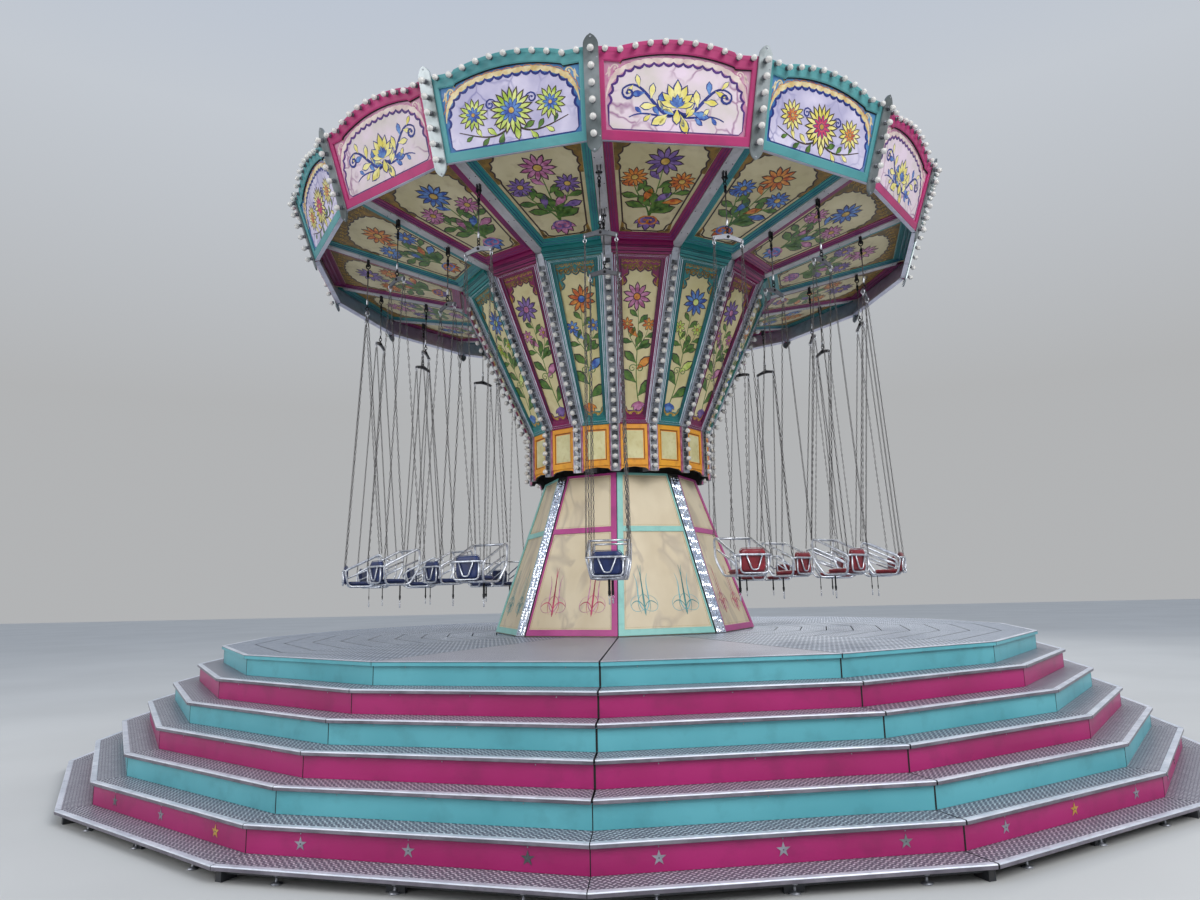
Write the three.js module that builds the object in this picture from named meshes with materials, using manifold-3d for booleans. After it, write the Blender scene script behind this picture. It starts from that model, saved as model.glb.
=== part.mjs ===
// Chair swing ride: a stepped round podium, a tapered tower, and a turning
// head with funnel, ceiling, crown and twenty-four hanging seats.
// Millimetres, +Z up. The origin is on the ground under the tower's axis, and
// the front corner of every many-sided ring lies towards -Y.

import * as THREE from 'three';
import { mergeVertices } from 'three/addons/utils/BufferGeometryUtils.js';
import Module from 'manifold-3d';

const wasm = await Module();
wasm.setup();

const SIDES = 16;
const TOWER_SIDES = 8;
const GAP = 0.3;

// Podium: six treads below the deck, radii measured to the corners
const TREAD_COUNT = 6;
const FIRST_TREAD_RADIUS = 6000;
const GOING = 226;
const RISE = 179;
const FIRST_TREAD_Z = 110;
const PLATE = 30;
const NOSING = 30;
const RISER_PLATE = 20;
const DECK_Z = FIRST_TREAD_Z + TREAD_COUNT * RISE;
const DECK_RADIUS = FIRST_TREAD_RADIUS - TREAD_COUNT * GOING;
const DECK_HOLE_RADIUS = 420;

// Base frame under the podium
const STRINGER_PLATE = 50;
const STRINGER_DEPTH = 150;
const FOOT_SIZE = 120;
const FOOT_HEIGHT = 40;
const LEG_WIDTH = 90;
const LEG_RADII = [4400, 1500];

// Tower, radii measured to its eight corners
const TOWER_BOTTOM_RADIUS = 1628;
const TOWER_TOP_RADIUS = 968;
const TOWER_TOP_Z = 3060;
const TOWER_PANEL = 20;
const TOWER_STRIP_WIDTH = 155;
const TOWER_PANEL_LIFT = 7;
const TOWER_POST_DEPTH = 60;
const TOWER_ARM_WIDTH = 80;
const TOWER_ARM_HEIGHT = 30;
const MAST_RADIUS = 300;
const ROUND_FACETS = 12;
const SLEW_Z = 3300;
const SLEW_RADIUS = 560;
const SLEW_PLATE = 40;
const SLEW_FACETS = 24;

// Head
const COLLAR_RADIUS = 1155;
const COLLAR_BOTTOM_Z = 3050;
const COLLAR_TOP_Z = 3612;
const SCALLOP_RISE = 55;
const SCALLOP_FOOT = 40;
const COLLAR_ARM = 60;
const COLLAR_ARM_Z = 3451;
const COLLAR_ARM_CLEARANCE = 7;
const FUNNEL_TOP_RADIUS = 2009;
const FUNNEL_TOP_Z = 5455;
const SHELL = 25;
const RAIL_WIDTH = 95;
const RAIL_DEPTH = 24;
const CORNICE_WIDTH = 90;
const CORNICE_HEIGHT = 130;
const CORNICE_SETBACK = 10;
const COLUMN_RADIUS = 280;
const COLUMN_TOP_Z = 5500;

// Radial beams: the underside rises outwards from the funnel's top
const BEAM_WIDTH = 110;
const BEAM_HEIGHT = 150;
const BEAM_FOOT_RADIUS = 2016;
const BEAM_FOOT_Z = 5470;
const BEAM_SLOPE = 0.235;
const BEAM_END_RADIUS = 3760;
const CEILING_RECESS = 30;
const CEILING_PLATE = 30;
const CEILING_INNER_RADIUS = 2040;

// Crown
const CROWN_BOTTOM_RADIUS = 3851;
const CROWN_BOTTOM_Z = 5664;
const CROWN_TOP_RADIUS = 4101;
const CROWN_TOP_Z = 6417;
const CROWN_PANEL = 40;
const CROWN_ARCH = 95;
const CROWN_SHOULDER_STEP = 20;
const CROWN_SHOULDER_SHARE = 0.17;
const STRIP_WIDTH = 136;
const STRIP_PLATE = 16;
const STRIP_BELOW = 115;
const STRIP_ABOVE = 100;
const STRIP_POINT_SHARE = 0.3;

// Seats
const OUTER_HOOK_RADIUS = 3220;
const INNER_HOOK_RADIUS = 2590;
const HOOK_DROP = 70;
const PIN_RADIUS = 8;
const HOOK_CHEEK = 8;
const HOOK_OPENING = 26;
const EYE_WIDTH = 16;
const ROD = 16;
const SPREADER_DROP = 640;
const SPREADER_WIDTH = 335;
const SEAT_SIDE = 183;
const SEAT_FOOT_SIDE = 145;
const CHAIN = 13;
const TUBE = 24;
const FRONT_BAR_Z = 2150;
const BACK_BAR_Z = 1965;
const SEAT_BOTTOM_Z = 1790;
const PAD_WIDTH = 268;
const PAD = 42;
const BACK_Y = -170;
const FRONT_Y = 225;
const PAN_FRONT_Y = 125;
const BACKREST_TOP_Z = 2032;
const STRAP_END_Z = 1552;
const STRAP_PLATE = 8;
const EYE = 20;
const SPREADER_LIP = 24;
const SPREADER_WING = 8;
const SPREADER_NOSE = 34;
const SPREADER_NOSE_HALF = 30;
const LOOP_BEND = 150;

const COLOUR = {
  aluminium: 0x9a9da8,
  teal: 0x54a8a8,
  pink: 0x9e2166,
  cream: 0xd9ccaa,
  amber: 0xd89a2b,
  grey: 0x8a8a90,
  steel: 0xb5b8bd,
  blue: 0x1d2a63,
  red: 0x7c1626,
  frame: 0x3c3f45,
};

const group = new THREE.Group();

function addMesh(name, geometry, colour, roughness = 0.5, metalness = 0) {
  const material = new THREE.MeshStandardMaterial({ color: colour, roughness, metalness });
  const mesh = new THREE.Mesh(geometry, material);
  mesh.name = name;
  group.add(mesh);
  return mesh;
}

function weld(geometry) {
  const bare = geometry.clone();
  bare.deleteAttribute('normal');
  bare.deleteAttribute('uv');
  return mergeVertices(bare, 0.001);
}

function toSolid(geometry) {
  const welded = weld(geometry);
  const vertProperties = new Float32Array(welded.attributes.position.array);
  const triVerts = new Uint32Array(welded.index.array);
  return new wasm.Manifold(new wasm.Mesh({ numProp: 3, vertProperties, triVerts }));
}

function toGeometry(solid) {
  const mesh = solid.getMesh();
  const geometry = new THREE.BufferGeometry();
  geometry.setAttribute('position', new THREE.BufferAttribute(mesh.vertProperties, 3));
  geometry.setIndex(new THREE.BufferAttribute(mesh.triVerts, 1));
  geometry.computeVertexNormals();
  return geometry;
}

function union(geometries) {
  return geometries.map(toSolid).reduce((whole, part) => whole.add(part));
}

function joined(geometries) {
  return toGeometry(union(geometries));
}

// Places in the round: azimuth 0 is the front corner, and it grows towards +X
function azimuthOf(step, sides = SIDES) {
  return (step * 2 * Math.PI) / sides;
}

function outward(azimuth) {
  return new THREE.Vector3(Math.sin(azimuth), -Math.cos(azimuth), 0);
}

function along(azimuth) {
  return new THREE.Vector3(Math.cos(azimuth), Math.sin(azimuth), 0);
}

// Many-sided ring from a closed outline of [corner radius, height] points,
// which runs up the outside and down the inside
function ring(outline, sides = SIDES) {
  const points = [...outline, outline[0]].map(([radius, z]) => new THREE.Vector2(radius, z));
  const geometry = new THREE.LatheGeometry(points, sides);
  geometry.rotateX(Math.PI / 2);
  return weld(geometry);
}

function flatRing(outer, inner, bottom, top, sides = SIDES) {
  return ring([[outer, bottom], [outer, top], [inner, top], [inner, bottom]], sides);
}

function disc(radius, bottom, top, sides) {
  const geometry = new THREE.CylinderGeometry(radius, radius, top - bottom, sides);
  geometry.rotateX(Math.PI / 2);
  geometry.translate(0, 0, (bottom + top) / 2);
  return weld(geometry);
}

function outlineShape(points, holes = []) {
  const shape = new THREE.Shape(points.map(([x, y]) => new THREE.Vector2(x, y)));
  for (const hole of holes) {
    shape.holes.push(new THREE.Path(hole.map(([x, y]) => new THREE.Vector2(x, y))));
  }
  return shape;
}

function extrude(points, depth, holes = []) {
  const settings = { depth, bevelEnabled: false, steps: 1 };
  return new THREE.ExtrudeGeometry(outlineShape(points, holes), settings);
}

// Upright plate whose outline is given as [radius, height] points
function radialPlate(points, thickness, azimuth, holes = []) {
  const geometry = extrude(points, thickness, holes);
  geometry.translate(0, 0, -thickness / 2);
  const up = new THREE.Vector3(0, 0, 1);
  const basis = new THREE.Matrix4().makeBasis(outward(azimuth), up, along(azimuth).negate());
  geometry.applyMatrix4(basis);
  return weld(geometry);
}

// Plate on one side of a tapered ring: x runs along the side, y up its slope
// from the bottom edge, and the outer face is at depth 0
function sidePlate(points, thickness, azimuth, bottom, top, stand = 0) {
  const geometry = extrude(points, thickness);
  geometry.translate(0, 0, stand - thickness);
  const up = outward(azimuth).multiplyScalar(top.radius - bottom.radius);
  up.z = top.z - bottom.z;
  up.normalize();
  const side = along(azimuth);
  const face = new THREE.Vector3().crossVectors(side, up);
  const basis = new THREE.Matrix4().makeBasis(side, up, face);
  geometry.applyMatrix4(basis);
  const start = outward(azimuth).multiplyScalar(bottom.radius);
  geometry.translate(start.x, start.y, bottom.z);
  return weld(geometry);
}

function box(x, y, z, sizeX, sizeY, sizeZ) {
  const geometry = new THREE.BoxGeometry(sizeX, sizeY, sizeZ);
  geometry.translate(x, y, z);
  return weld(geometry);
}

function boxAt(azimuth, radius, z, sizeAlong, sizeOut, sizeZ) {
  const geometry = new THREE.BoxGeometry(sizeAlong, sizeOut, sizeZ);
  geometry.rotateZ(azimuth);
  const place = outward(azimuth).multiplyScalar(radius);
  geometry.translate(place.x, place.y, z);
  return weld(geometry);
}

function treadRadius(level) {
  return FIRST_TREAD_RADIUS - level * GOING;
}

function treadZ(level) {
  return FIRST_TREAD_Z + level * RISE;
}

function riserRadius(level) {
  return treadRadius(level) - NOSING;
}

function addTread(level) {
  const top = treadZ(level);
  const inner = riserRadius(level + 1) - RISER_PLATE - PLATE;
  addMesh(`tread_${level + 1}`, flatRing(treadRadius(level), inner, top - PLATE, top),
    COLOUR.aluminium, 0.4, 0.8);
}

function addRiser(level) {
  const outer = riserRadius(level + 1);
  const colour = level % 2 === 0 ? COLOUR.pink : COLOUR.teal;
  addMesh(`riser_${level + 1}`,
    flatRing(outer, outer - RISER_PLATE, treadZ(level), treadZ(level + 1) - PLATE), colour);
}

function addDeck() {
  addMesh('deck_plates', flatRing(DECK_RADIUS, DECK_HOLE_RADIUS, DECK_Z - PLATE, DECK_Z),
    COLOUR.aluminium, 0.4, 0.8);
}

// Stepped stringer from the lowest tread to the mast's foot, on two legs
function stringerOutline() {
  const end = FIRST_TREAD_RADIUS - 2 * PLATE;
  const deckUnder = DECK_Z - PLATE - STRINGER_DEPTH;
  const [outerLeg, innerLeg] = LEG_RADII;
  const points = [[end, 0], [end, treadZ(0) - PLATE]];
  for (let level = 1; level <= TREAD_COUNT; level += 1) {
    const face = riserRadius(level) - 2 * RISER_PLATE - PLATE;
    points.push([face, treadZ(level - 1) - PLATE], [face, treadZ(level) - PLATE]);
  }
  points.push([innerLeg, DECK_Z - PLATE], [innerLeg, 0], [innerLeg + LEG_WIDTH, 0]);
  points.push([innerLeg + LEG_WIDTH, deckUnder], [outerLeg, deckUnder], [outerLeg, 0]);
  points.push([outerLeg + LEG_WIDTH, 0], [outerLeg + LEG_WIDTH, deckUnder - STRINGER_DEPTH]);
  points.push([end - 2 * STRINGER_DEPTH, FOOT_HEIGHT], [end - FOOT_SIZE, FOOT_HEIGHT]);
  points.push([end - FOOT_SIZE, 0]);
  return points;
}

function addBaseFrame() {
  const pieces = [];
  const footRadius = FIRST_TREAD_RADIUS - FOOT_SIZE;
  const beamTop = treadZ(0) - PLATE;
  for (let step = 0; step < SIDES; step += 1) {
    pieces.push(radialPlate(stringerOutline(), STRINGER_PLATE, azimuthOf(step)));
    const middleRadius = footRadius * Math.cos(azimuthOf(0.5));
    pieces.push(boxAt(azimuthOf(step + 0.5), middleRadius, beamTop / 3, FOOT_SIZE, PLATE,
      beamTop * 2 / 3));
  }
  pieces.push(flatRing(footRadius + PLATE, footRadius - PLATE, FOOT_HEIGHT, beamTop));
  const hub = LEG_RADII[1] + LEG_WIDTH / 2;
  pieces.push(flatRing(hub + PLATE, hub - PLATE, DECK_Z - PLATE - STRINGER_DEPTH, DECK_Z - PLATE));
  addMesh('base_frame', joined(pieces), COLOUR.frame, 0.6, 0.4);
}

// Sloping tower walls: one plate on each of the eight sides
function addTowerPanel(side) {
  const azimuth = azimuthOf(side + 0.5, TOWER_SIDES);
  const half = azimuthOf(0.5, TOWER_SIDES);
  const bottomZ = DECK_Z + GAP;
  const bottom = { radius: TOWER_BOTTOM_RADIUS * Math.cos(half), z: bottomZ };
  const top = { radius: TOWER_TOP_RADIUS * Math.cos(half), z: TOWER_TOP_Z };
  const slope = Math.hypot(top.radius - bottom.radius, top.z - bottom.z);
  const bottomHalf = TOWER_BOTTOM_RADIUS * Math.sin(half);
  const topHalf = TOWER_TOP_RADIUS * Math.sin(half);
  const mitre = TOWER_PANEL * Math.tan(half) + 3 * GAP;
  const strip = TOWER_STRIP_WIDTH / 2 / Math.cos(half) + mitre;
  // Sides in each pair meet at a plain corner and end at a corner strip
  const leftCut = side % 2 === 0 ? mitre : strip;
  const rightCut = side % 2 === 0 ? strip : mitre;
  const lift = TOWER_PANEL_LIFT;
  const outline = [[-bottomHalf + leftCut, lift], [bottomHalf - rightCut, lift],
    [topHalf - rightCut, slope], [-topHalf + leftCut, slope]];
  const geometry = sidePlate(outline, TOWER_PANEL, azimuth, bottom, top);
  addMesh(`tower_panel_${side + 1}`, geometry, COLOUR.cream, 0.6);
}

function addTowerFrame() {
  const pieces = [];
  pieces.push(disc(MAST_RADIUS, FOOT_HEIGHT, SLEW_Z, ROUND_FACETS));
  pieces.push(disc(SLEW_RADIUS, SLEW_Z - SLEW_PLATE, SLEW_Z, SLEW_FACETS));
  pieces.push(disc(MAST_RADIUS + FOOT_SIZE, 0, FOOT_HEIGHT, ROUND_FACETS));
  const depth = TOWER_POST_DEPTH;
  const bottomRadius = TOWER_BOTTOM_RADIUS - TOWER_PANEL;
  const topRadius = TOWER_TOP_RADIUS - TOWER_PANEL;
  for (let corner = 1; corner < TOWER_SIDES; corner += 2) {
    const azimuth = azimuthOf(corner, TOWER_SIDES);
    const outline = [[bottomRadius, DECK_Z + GAP], [topRadius, TOWER_TOP_Z],
      [topRadius - depth, TOWER_TOP_Z], [bottomRadius - depth, DECK_Z + GAP]];
    pieces.push(radialPlate(outline, TOWER_STRIP_WIDTH, azimuth));
    const armLength = topRadius - depth / 2;
    pieces.push(boxAt(azimuth, armLength / 2, TOWER_TOP_Z - TOWER_ARM_HEIGHT, TOWER_ARM_WIDTH,
      armLength, TOWER_ARM_HEIGHT));
  }
  addMesh('tower_frame', joined(pieces), COLOUR.steel, 0.3, 0.9);
}

// Underside height of a beam at a given radius
function beamUnder(radius) {
  return BEAM_FOOT_Z + BEAM_SLOPE * (radius - BEAM_FOOT_RADIUS);
}

function beamOutline(clearance) {
  const start = COLUMN_RADIUS - PLATE;
  const end = BEAM_END_RADIUS + clearance;
  const low = -clearance;
  const high = BEAM_HEIGHT + clearance;
  return [[start, beamUnder(start) + low], [end, beamUnder(end) + low],
    [end, beamUnder(end) + high], [start, beamUnder(start) + high]];
}

function beam(step, clearance = 0) {
  return radialPlate(beamOutline(clearance), BEAM_WIDTH + 2 * clearance, azimuthOf(step));
}

function pivotZ(radius) {
  return beamUnder(radius) - HOOK_DROP;
}

// Two cheeks and a pin, under the beam
function hook(step, radius) {
  const azimuth = azimuthOf(step);
  const pieces = [];
  const low = pivotZ(radius) - 2 * PIN_RADIUS;
  const high = beamUnder(radius) + PLATE;
  for (const side of [-1, 1]) {
    const cheek = new THREE.BoxGeometry(HOOK_CHEEK, 4 * PIN_RADIUS, high - low);
    cheek.translate(side * (HOOK_OPENING + HOOK_CHEEK) / 2, -radius, (low + high) / 2);
    cheek.rotateZ(azimuth);
    pieces.push(cheek);
  }
  const edge = PIN_RADIUS * Math.SQRT2;
  const pin = new THREE.BoxGeometry(HOOK_OPENING + 2 * HOOK_CHEEK, edge, edge);
  pin.rotateX(Math.PI / 4);
  pin.translate(0, -radius, pivotZ(radius));
  pin.rotateZ(azimuth);
  pieces.push(pin);
  return pieces;
}

function hasInnerSeat(step) {
  return step % 2 === 0;
}

function addHeadFrame() {
  const pieces = [];
  const bottom = SLEW_Z + GAP;
  pieces.push(disc(SLEW_RADIUS, bottom, bottom + SLEW_PLATE, SLEW_FACETS));
  pieces.push(disc(COLUMN_RADIUS, bottom, COLUMN_TOP_Z, ROUND_FACETS));
  const armEnd = COLLAR_RADIUS - SHELL - COLLAR_ARM_CLEARANCE;
  const armStart = COLUMN_RADIUS - PLATE;
  for (let step = 0; step < SIDES; step += 1) {
    pieces.push(beam(step));
    pieces.push(...hook(step, OUTER_HOOK_RADIUS));
    if (hasInnerSeat(step)) {
      pieces.push(...hook(step, INNER_HOOK_RADIUS));
      pieces.push(boxAt(azimuthOf(step), (armStart + armEnd) / 2, COLLAR_ARM_Z, COLLAR_ARM,
        armEnd - armStart, COLLAR_ARM));
    }
  }
  addMesh('head_frame', joined(pieces), COLOUR.grey, 0.5, 0.3);
}

// Amber collar with a scalloped lower edge
function addCollar() {
  const pieces = [];
  const half = azimuthOf(0.5);
  const apothem = COLLAR_RADIUS * Math.cos(half);
  const halfWidth = COLLAR_RADIUS * Math.sin(half);
  const height = COLLAR_TOP_Z - COLLAR_BOTTOM_Z;
  const tip = SCALLOP_FOOT;
  const arcSteps = 4;
  const outline = [[halfWidth, height], [-halfWidth, height], [-halfWidth, 0], [-halfWidth + tip, 0]];
  for (let index = 1; index < arcSteps; index += 1) {
    const turn = (index / arcSteps) * Math.PI;
    outline.push([-(halfWidth - tip) * Math.cos(turn), SCALLOP_RISE * Math.sin(turn)]);
  }
  outline.push([halfWidth - tip, 0], [halfWidth, 0]);
  for (let side = 0; side < SIDES; side += 1) {
    const azimuth = azimuthOf(side + 0.5);
    const bottom = { radius: apothem, z: COLLAR_BOTTOM_Z };
    const top = { radius: apothem, z: COLLAR_TOP_Z };
    pieces.push(sidePlate(outline, SHELL, azimuth, bottom, top));
  }
  addMesh('collar_panels', joined(pieces), COLOUR.amber, 0.5);
}

function addFunnel() {
  // The wall is measured level, so it is a little more than the board's thickness
  const lean = (FUNNEL_TOP_RADIUS - COLLAR_RADIUS) / (FUNNEL_TOP_Z - COLLAR_TOP_Z);
  const wall = SHELL * Math.hypot(1, lean);
  addMesh('funnel_panels', ring([[COLLAR_RADIUS, COLLAR_TOP_Z], [FUNNEL_TOP_RADIUS, FUNNEL_TOP_Z],
    [FUNNEL_TOP_RADIUS - wall, FUNNEL_TOP_Z], [COLLAR_RADIUS - wall, COLLAR_TOP_Z]]), COLOUR.cream);
}

// Lamp rails down the corners of funnel and collar, hung from the cornice
function addLampRails() {
  const pieces = [];
  const lift = 1;
  const face = COLLAR_RADIUS + lift;
  const top = FUNNEL_TOP_RADIUS + lift;
  const topZ = BEAM_FOOT_Z - CORNICE_SETBACK;
  const slope = (FUNNEL_TOP_RADIUS - COLLAR_RADIUS) / (FUNNEL_TOP_Z - COLLAR_TOP_Z);
  const outline = [[face, COLLAR_BOTTOM_Z], [face + RAIL_DEPTH, COLLAR_BOTTOM_Z],
    [face + RAIL_DEPTH, COLLAR_TOP_Z - slope * RAIL_DEPTH], [top + RAIL_DEPTH, FUNNEL_TOP_Z],
    [top, FUNNEL_TOP_Z], [face, COLLAR_TOP_Z]];
  for (let step = 0; step < SIDES; step += 1) {
    pieces.push(radialPlate(outline, RAIL_WIDTH, azimuthOf(step)));
  }
  const low = topZ - CORNICE_HEIGHT;
  const lowRadius = top - slope * (FUNNEL_TOP_Z - low);
  const wide = lowRadius + CORNICE_WIDTH;
  pieces.push(ring([[lowRadius + RAIL_DEPTH, low], [wide, low + CORNICE_HEIGHT / 2],
    [wide + RAIL_DEPTH, topZ], [top + slope * (topZ - FUNNEL_TOP_Z), topZ], [lowRadius, low]]));
  addMesh('lamp_rails', joined(pieces), COLOUR.steel, 0.35, 0.8);
}

function ceilingUnder(radius) {
  return beamUnder(radius) + CEILING_RECESS;
}

// The ceiling's outer edge reaches the inside of the leaning crown boards
function ceilingOuterRadius() {
  const half = Math.cos(azimuthOf(0.5));
  const slope = (CROWN_TOP_RADIUS - CROWN_BOTTOM_RADIUS) / (CROWN_TOP_Z - CROWN_BOTTOM_Z);
  const wall = CROWN_PANEL * Math.hypot(1, slope * half) / half;
  const rise = ceilingUnder(CROWN_BOTTOM_RADIUS) - CROWN_BOTTOM_Z;
  const reach = (slope * rise - wall) / (1 - slope * BEAM_SLOPE);
  return CROWN_BOTTOM_RADIUS + reach - GAP;
}

function addCeiling() {
  const outer = ceilingOuterRadius();
  const inner = CEILING_INNER_RADIUS;
  const plate = ring([[outer, ceilingUnder(outer)], [outer, ceilingUnder(outer) + CEILING_PLATE],
    [inner, ceilingUnder(inner) + CEILING_PLATE], [inner, ceilingUnder(inner)]]);
  let solid = toSolid(plate);
  for (let step = 0; step < SIDES; step += 1) {
    solid = solid.subtract(toSolid(beam(step, GAP)));
  }
  addMesh('ceiling_panels', toGeometry(solid), COLOUR.cream);
}

// Crown: sixteen leaning boards with arched tops and a lamp plate at each corner
function crownBoardOutline(bottomHalf, topHalf, slope) {
  const arcSteps = 6;
  const arcHalf = topHalf * (1 - 2 * CROWN_SHOULDER_SHARE);
  const step = CROWN_SHOULDER_STEP;
  const points = [[-bottomHalf, 0], [bottomHalf, 0], [topHalf, slope], [arcHalf, slope + step]];
  for (let index = 1; index < arcSteps; index += 1) {
    const across = arcHalf * (1 - (2 * index) / arcSteps);
    const rise = step + (CROWN_ARCH - step) * (1 - (across / arcHalf) ** 2);
    points.push([across, slope + rise]);
  }
  points.push([-arcHalf, slope + step], [-topHalf, slope]);
  return points;
}

function addCrown() {
  const pieces = [];
  const half = azimuthOf(0.5);
  const bottom = { radius: CROWN_BOTTOM_RADIUS * Math.cos(half), z: CROWN_BOTTOM_Z };
  const top = { radius: CROWN_TOP_RADIUS * Math.cos(half), z: CROWN_TOP_Z };
  const slope = Math.hypot(top.radius - bottom.radius, top.z - bottom.z);
  const bottomHalf = CROWN_BOTTOM_RADIUS * Math.sin(half);
  const topHalf = CROWN_TOP_RADIUS * Math.sin(half);
  const board = crownBoardOutline(bottomHalf, topHalf, slope);
  const cornerBottom = { radius: CROWN_BOTTOM_RADIUS, z: CROWN_BOTTOM_Z };
  const cornerTop = { radius: CROWN_TOP_RADIUS, z: CROWN_TOP_Z };
  const length = Math.hypot(cornerTop.radius - cornerBottom.radius, cornerTop.z - cornerBottom.z);
  const wide = STRIP_WIDTH / 2;
  const low = -STRIP_BELOW * STRIP_POINT_SHARE;
  const high = length + STRIP_ABOVE * STRIP_POINT_SHARE;
  const plate = [[0, -STRIP_BELOW], [wide, low], [wide, high], [0, length + STRIP_ABOVE],
    [-wide, high], [-wide, low]];
  for (let step = 0; step < SIDES; step += 1) {
    pieces.push(sidePlate(board, CROWN_PANEL, azimuthOf(step + 0.5), bottom, top));
    pieces.push(sidePlate(plate, STRIP_PLATE, azimuthOf(step), cornerBottom, cornerTop,
      STRIP_PLATE / 2));
  }
  addMesh('crown_panels', joined(pieces), COLOUR.cream, 0.5);
}

// One side of a seat: the fan of two chain legs over the tube loop, drawn as
// [forward, height] points about the pivot
function seatSideOutline(pivot) {
  const top = -SPREADER_DROP - EYE;
  const front = FRONT_BAR_Z - pivot;
  const back = BACK_BAR_Z - pivot;
  const low = SEAT_BOTTOM_Z - pivot;
  const leg = CHAIN / 2;
  const outline = [[leg, top], [FRONT_Y + leg, front], [FRONT_Y + leg, low + LOOP_BEND],
    [PAN_FRONT_Y, low], [BACK_Y + TUBE, low], [BACK_Y - leg, back], [-leg, top]];
  const fan = [[0, top - 12 * CHAIN], [BACK_Y + CHAIN, back + TUBE], [FRONT_Y - CHAIN, front + TUBE / 2]];
  const loop = [[BACK_Y + TUBE, back - TUBE / 3], [BACK_Y + 2 * TUBE, low + TUBE],
    [PAN_FRONT_Y - TUBE / 3, low + TUBE], [FRONT_Y - TUBE, low + LOOP_BEND + TUBE / 2],
    [FRONT_Y - TUBE, front - TUBE]];
  return { outline, holes: [fan, loop] };
}

// Half the seat's width at a height above the ground: it spreads from the spreader's
// ends to the front bar, and draws in below the back bar
function seatHalfAt(height, pivot) {
  if (height < BACK_BAR_Z) {
    const share = (BACK_BAR_Z - height) / (BACK_BAR_Z - SEAT_BOTTOM_Z);
    return SEAT_SIDE - share * (SEAT_SIDE - SEAT_FOOT_SIDE);
  }
  const topHalf = SPREADER_WIDTH / 2 - CHAIN;
  const fall = pivot - SPREADER_DROP - FRONT_BAR_Z;
  const share = Math.max(0, height - FRONT_BAR_Z) / fall;
  return SEAT_SIDE - share * (SEAT_SIDE - topHalf);
}

function seatSide(pivot, side) {
  const { outline, holes } = seatSideOutline(pivot);
  const geometry = extrude(outline, CHAIN, holes);
  geometry.translate(0, 0, -CHAIN / 2);
  const forward = new THREE.Vector3(0, 1, 0);
  const up = new THREE.Vector3(0, 0, 1);
  const across = new THREE.Vector3(1, 0, 0);
  geometry.applyMatrix4(new THREE.Matrix4().makeBasis(forward, up, across));
  const places = geometry.attributes.position;
  for (let i = 0; i < places.count; i += 1) {
    const half = seatHalfAt(pivot + places.getZ(i), pivot);
    places.setX(i, places.getX(i) + side * half);
  }
  return weld(geometry);
}

// Eye on the pin and the rod below it
function hangerRod() {
  const eye = EYE;
  const rod = ROD / 2;
  const end = -SPREADER_DROP - rod;
  const outline = [[-rod, -eye], [-rod, end], [rod, end], [rod, -eye], [eye, -eye], [eye, eye],
    [-eye, eye], [-eye, -eye]];
  const bore = PIN_RADIUS + GAP;
  const hole = [[-bore, -bore], [-bore, bore], [bore, bore], [bore, -bore]];
  const geometry = extrude(outline, EYE_WIDTH, [hole]);
  geometry.translate(0, 0, -EYE_WIDTH / 2);
  const basis = new THREE.Matrix4().makeBasis(new THREE.Vector3(0, 1, 0),
    new THREE.Vector3(0, 0, 1), new THREE.Vector3(1, 0, 0));
  geometry.applyMatrix4(basis);
  return weld(geometry);
}

function spreaderPlate() {
  const half = SPREADER_WIDTH / 2;
  const outline = [[-half, -SPREADER_LIP], [half, -SPREADER_LIP], [half, SPREADER_WING],
    [SPREADER_NOSE_HALF, SPREADER_NOSE], [-SPREADER_NOSE_HALF, SPREADER_NOSE],
    [-half, SPREADER_WING]];
  const geometry = extrude(outline, ROD);
  geometry.translate(0, -SPREADER_DROP, -ROD / 2);
  geometry.rotateX(Math.PI / 2);
  return weld(geometry);
}

function seatGeometry(pivot) {
  const low = SEAT_BOTTOM_Z - pivot;
  const bar = TUBE - 2;
  const squabBack = BACK_Y + PAD;
  const squabLength = PAN_FRONT_Y - squabBack;
  const backrestLow = low + PAD / 2;
  const backrestHeight = low + BACKREST_TOP_Z - SEAT_BOTTOM_Z - backrestLow;
  const strapLength = SEAT_BOTTOM_Z - STRAP_END_Z;
  const strapOverlap = PAD / 2;
  const crossBar = (y, height) => box(0, y, height - pivot, 2 * seatHalfAt(height, pivot), bar, bar);
  const pieces = [
    hangerRod(),
    spreaderPlate(),
    seatSide(pivot, 1),
    seatSide(pivot, -1),
    crossBar(FRONT_Y - TUBE / 2, FRONT_BAR_Z - TUBE / 2),
    crossBar(BACK_Y + TUBE / 3, BACK_BAR_Z - TUBE),
    crossBar(PAN_FRONT_Y / 3, SEAT_BOTTOM_Z + TUBE / 2),
    box(0, squabBack + squabLength / 2, low + PAD / 2, PAD_WIDTH, squabLength, PAD),
    box(0, BACK_Y + PAD / 4, backrestLow + backrestHeight / 2, PAD_WIDTH, PAD, backrestHeight),
    box(0, PAN_FRONT_Y - bar, low - (strapLength - strapOverlap) / 2, bar, STRAP_PLATE,
      strapLength + strapOverlap),
  ];
  return joined(pieces);
}

function addSeat(name, step, radius, geometry, colour) {
  const mesh = addMesh(name, geometry, colour, 0.5, 0.2);
  const azimuth = azimuthOf(step);
  const place = outward(azimuth).multiplyScalar(radius);
  mesh.position.set(place.x, place.y, pivotZ(radius));
  mesh.rotation.z = azimuth;
}

addBaseFrame();
for (let level = 0; level < TREAD_COUNT; level += 1) {
  addTread(level);
  addRiser(level);
}
addDeck();
for (let side = 0; side < TOWER_SIDES; side += 1) {
  addTowerPanel(side);
}
addTowerFrame();
addHeadFrame();
addCollar();
addFunnel();
addLampRails();
addCeiling();
addCrown();

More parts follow.
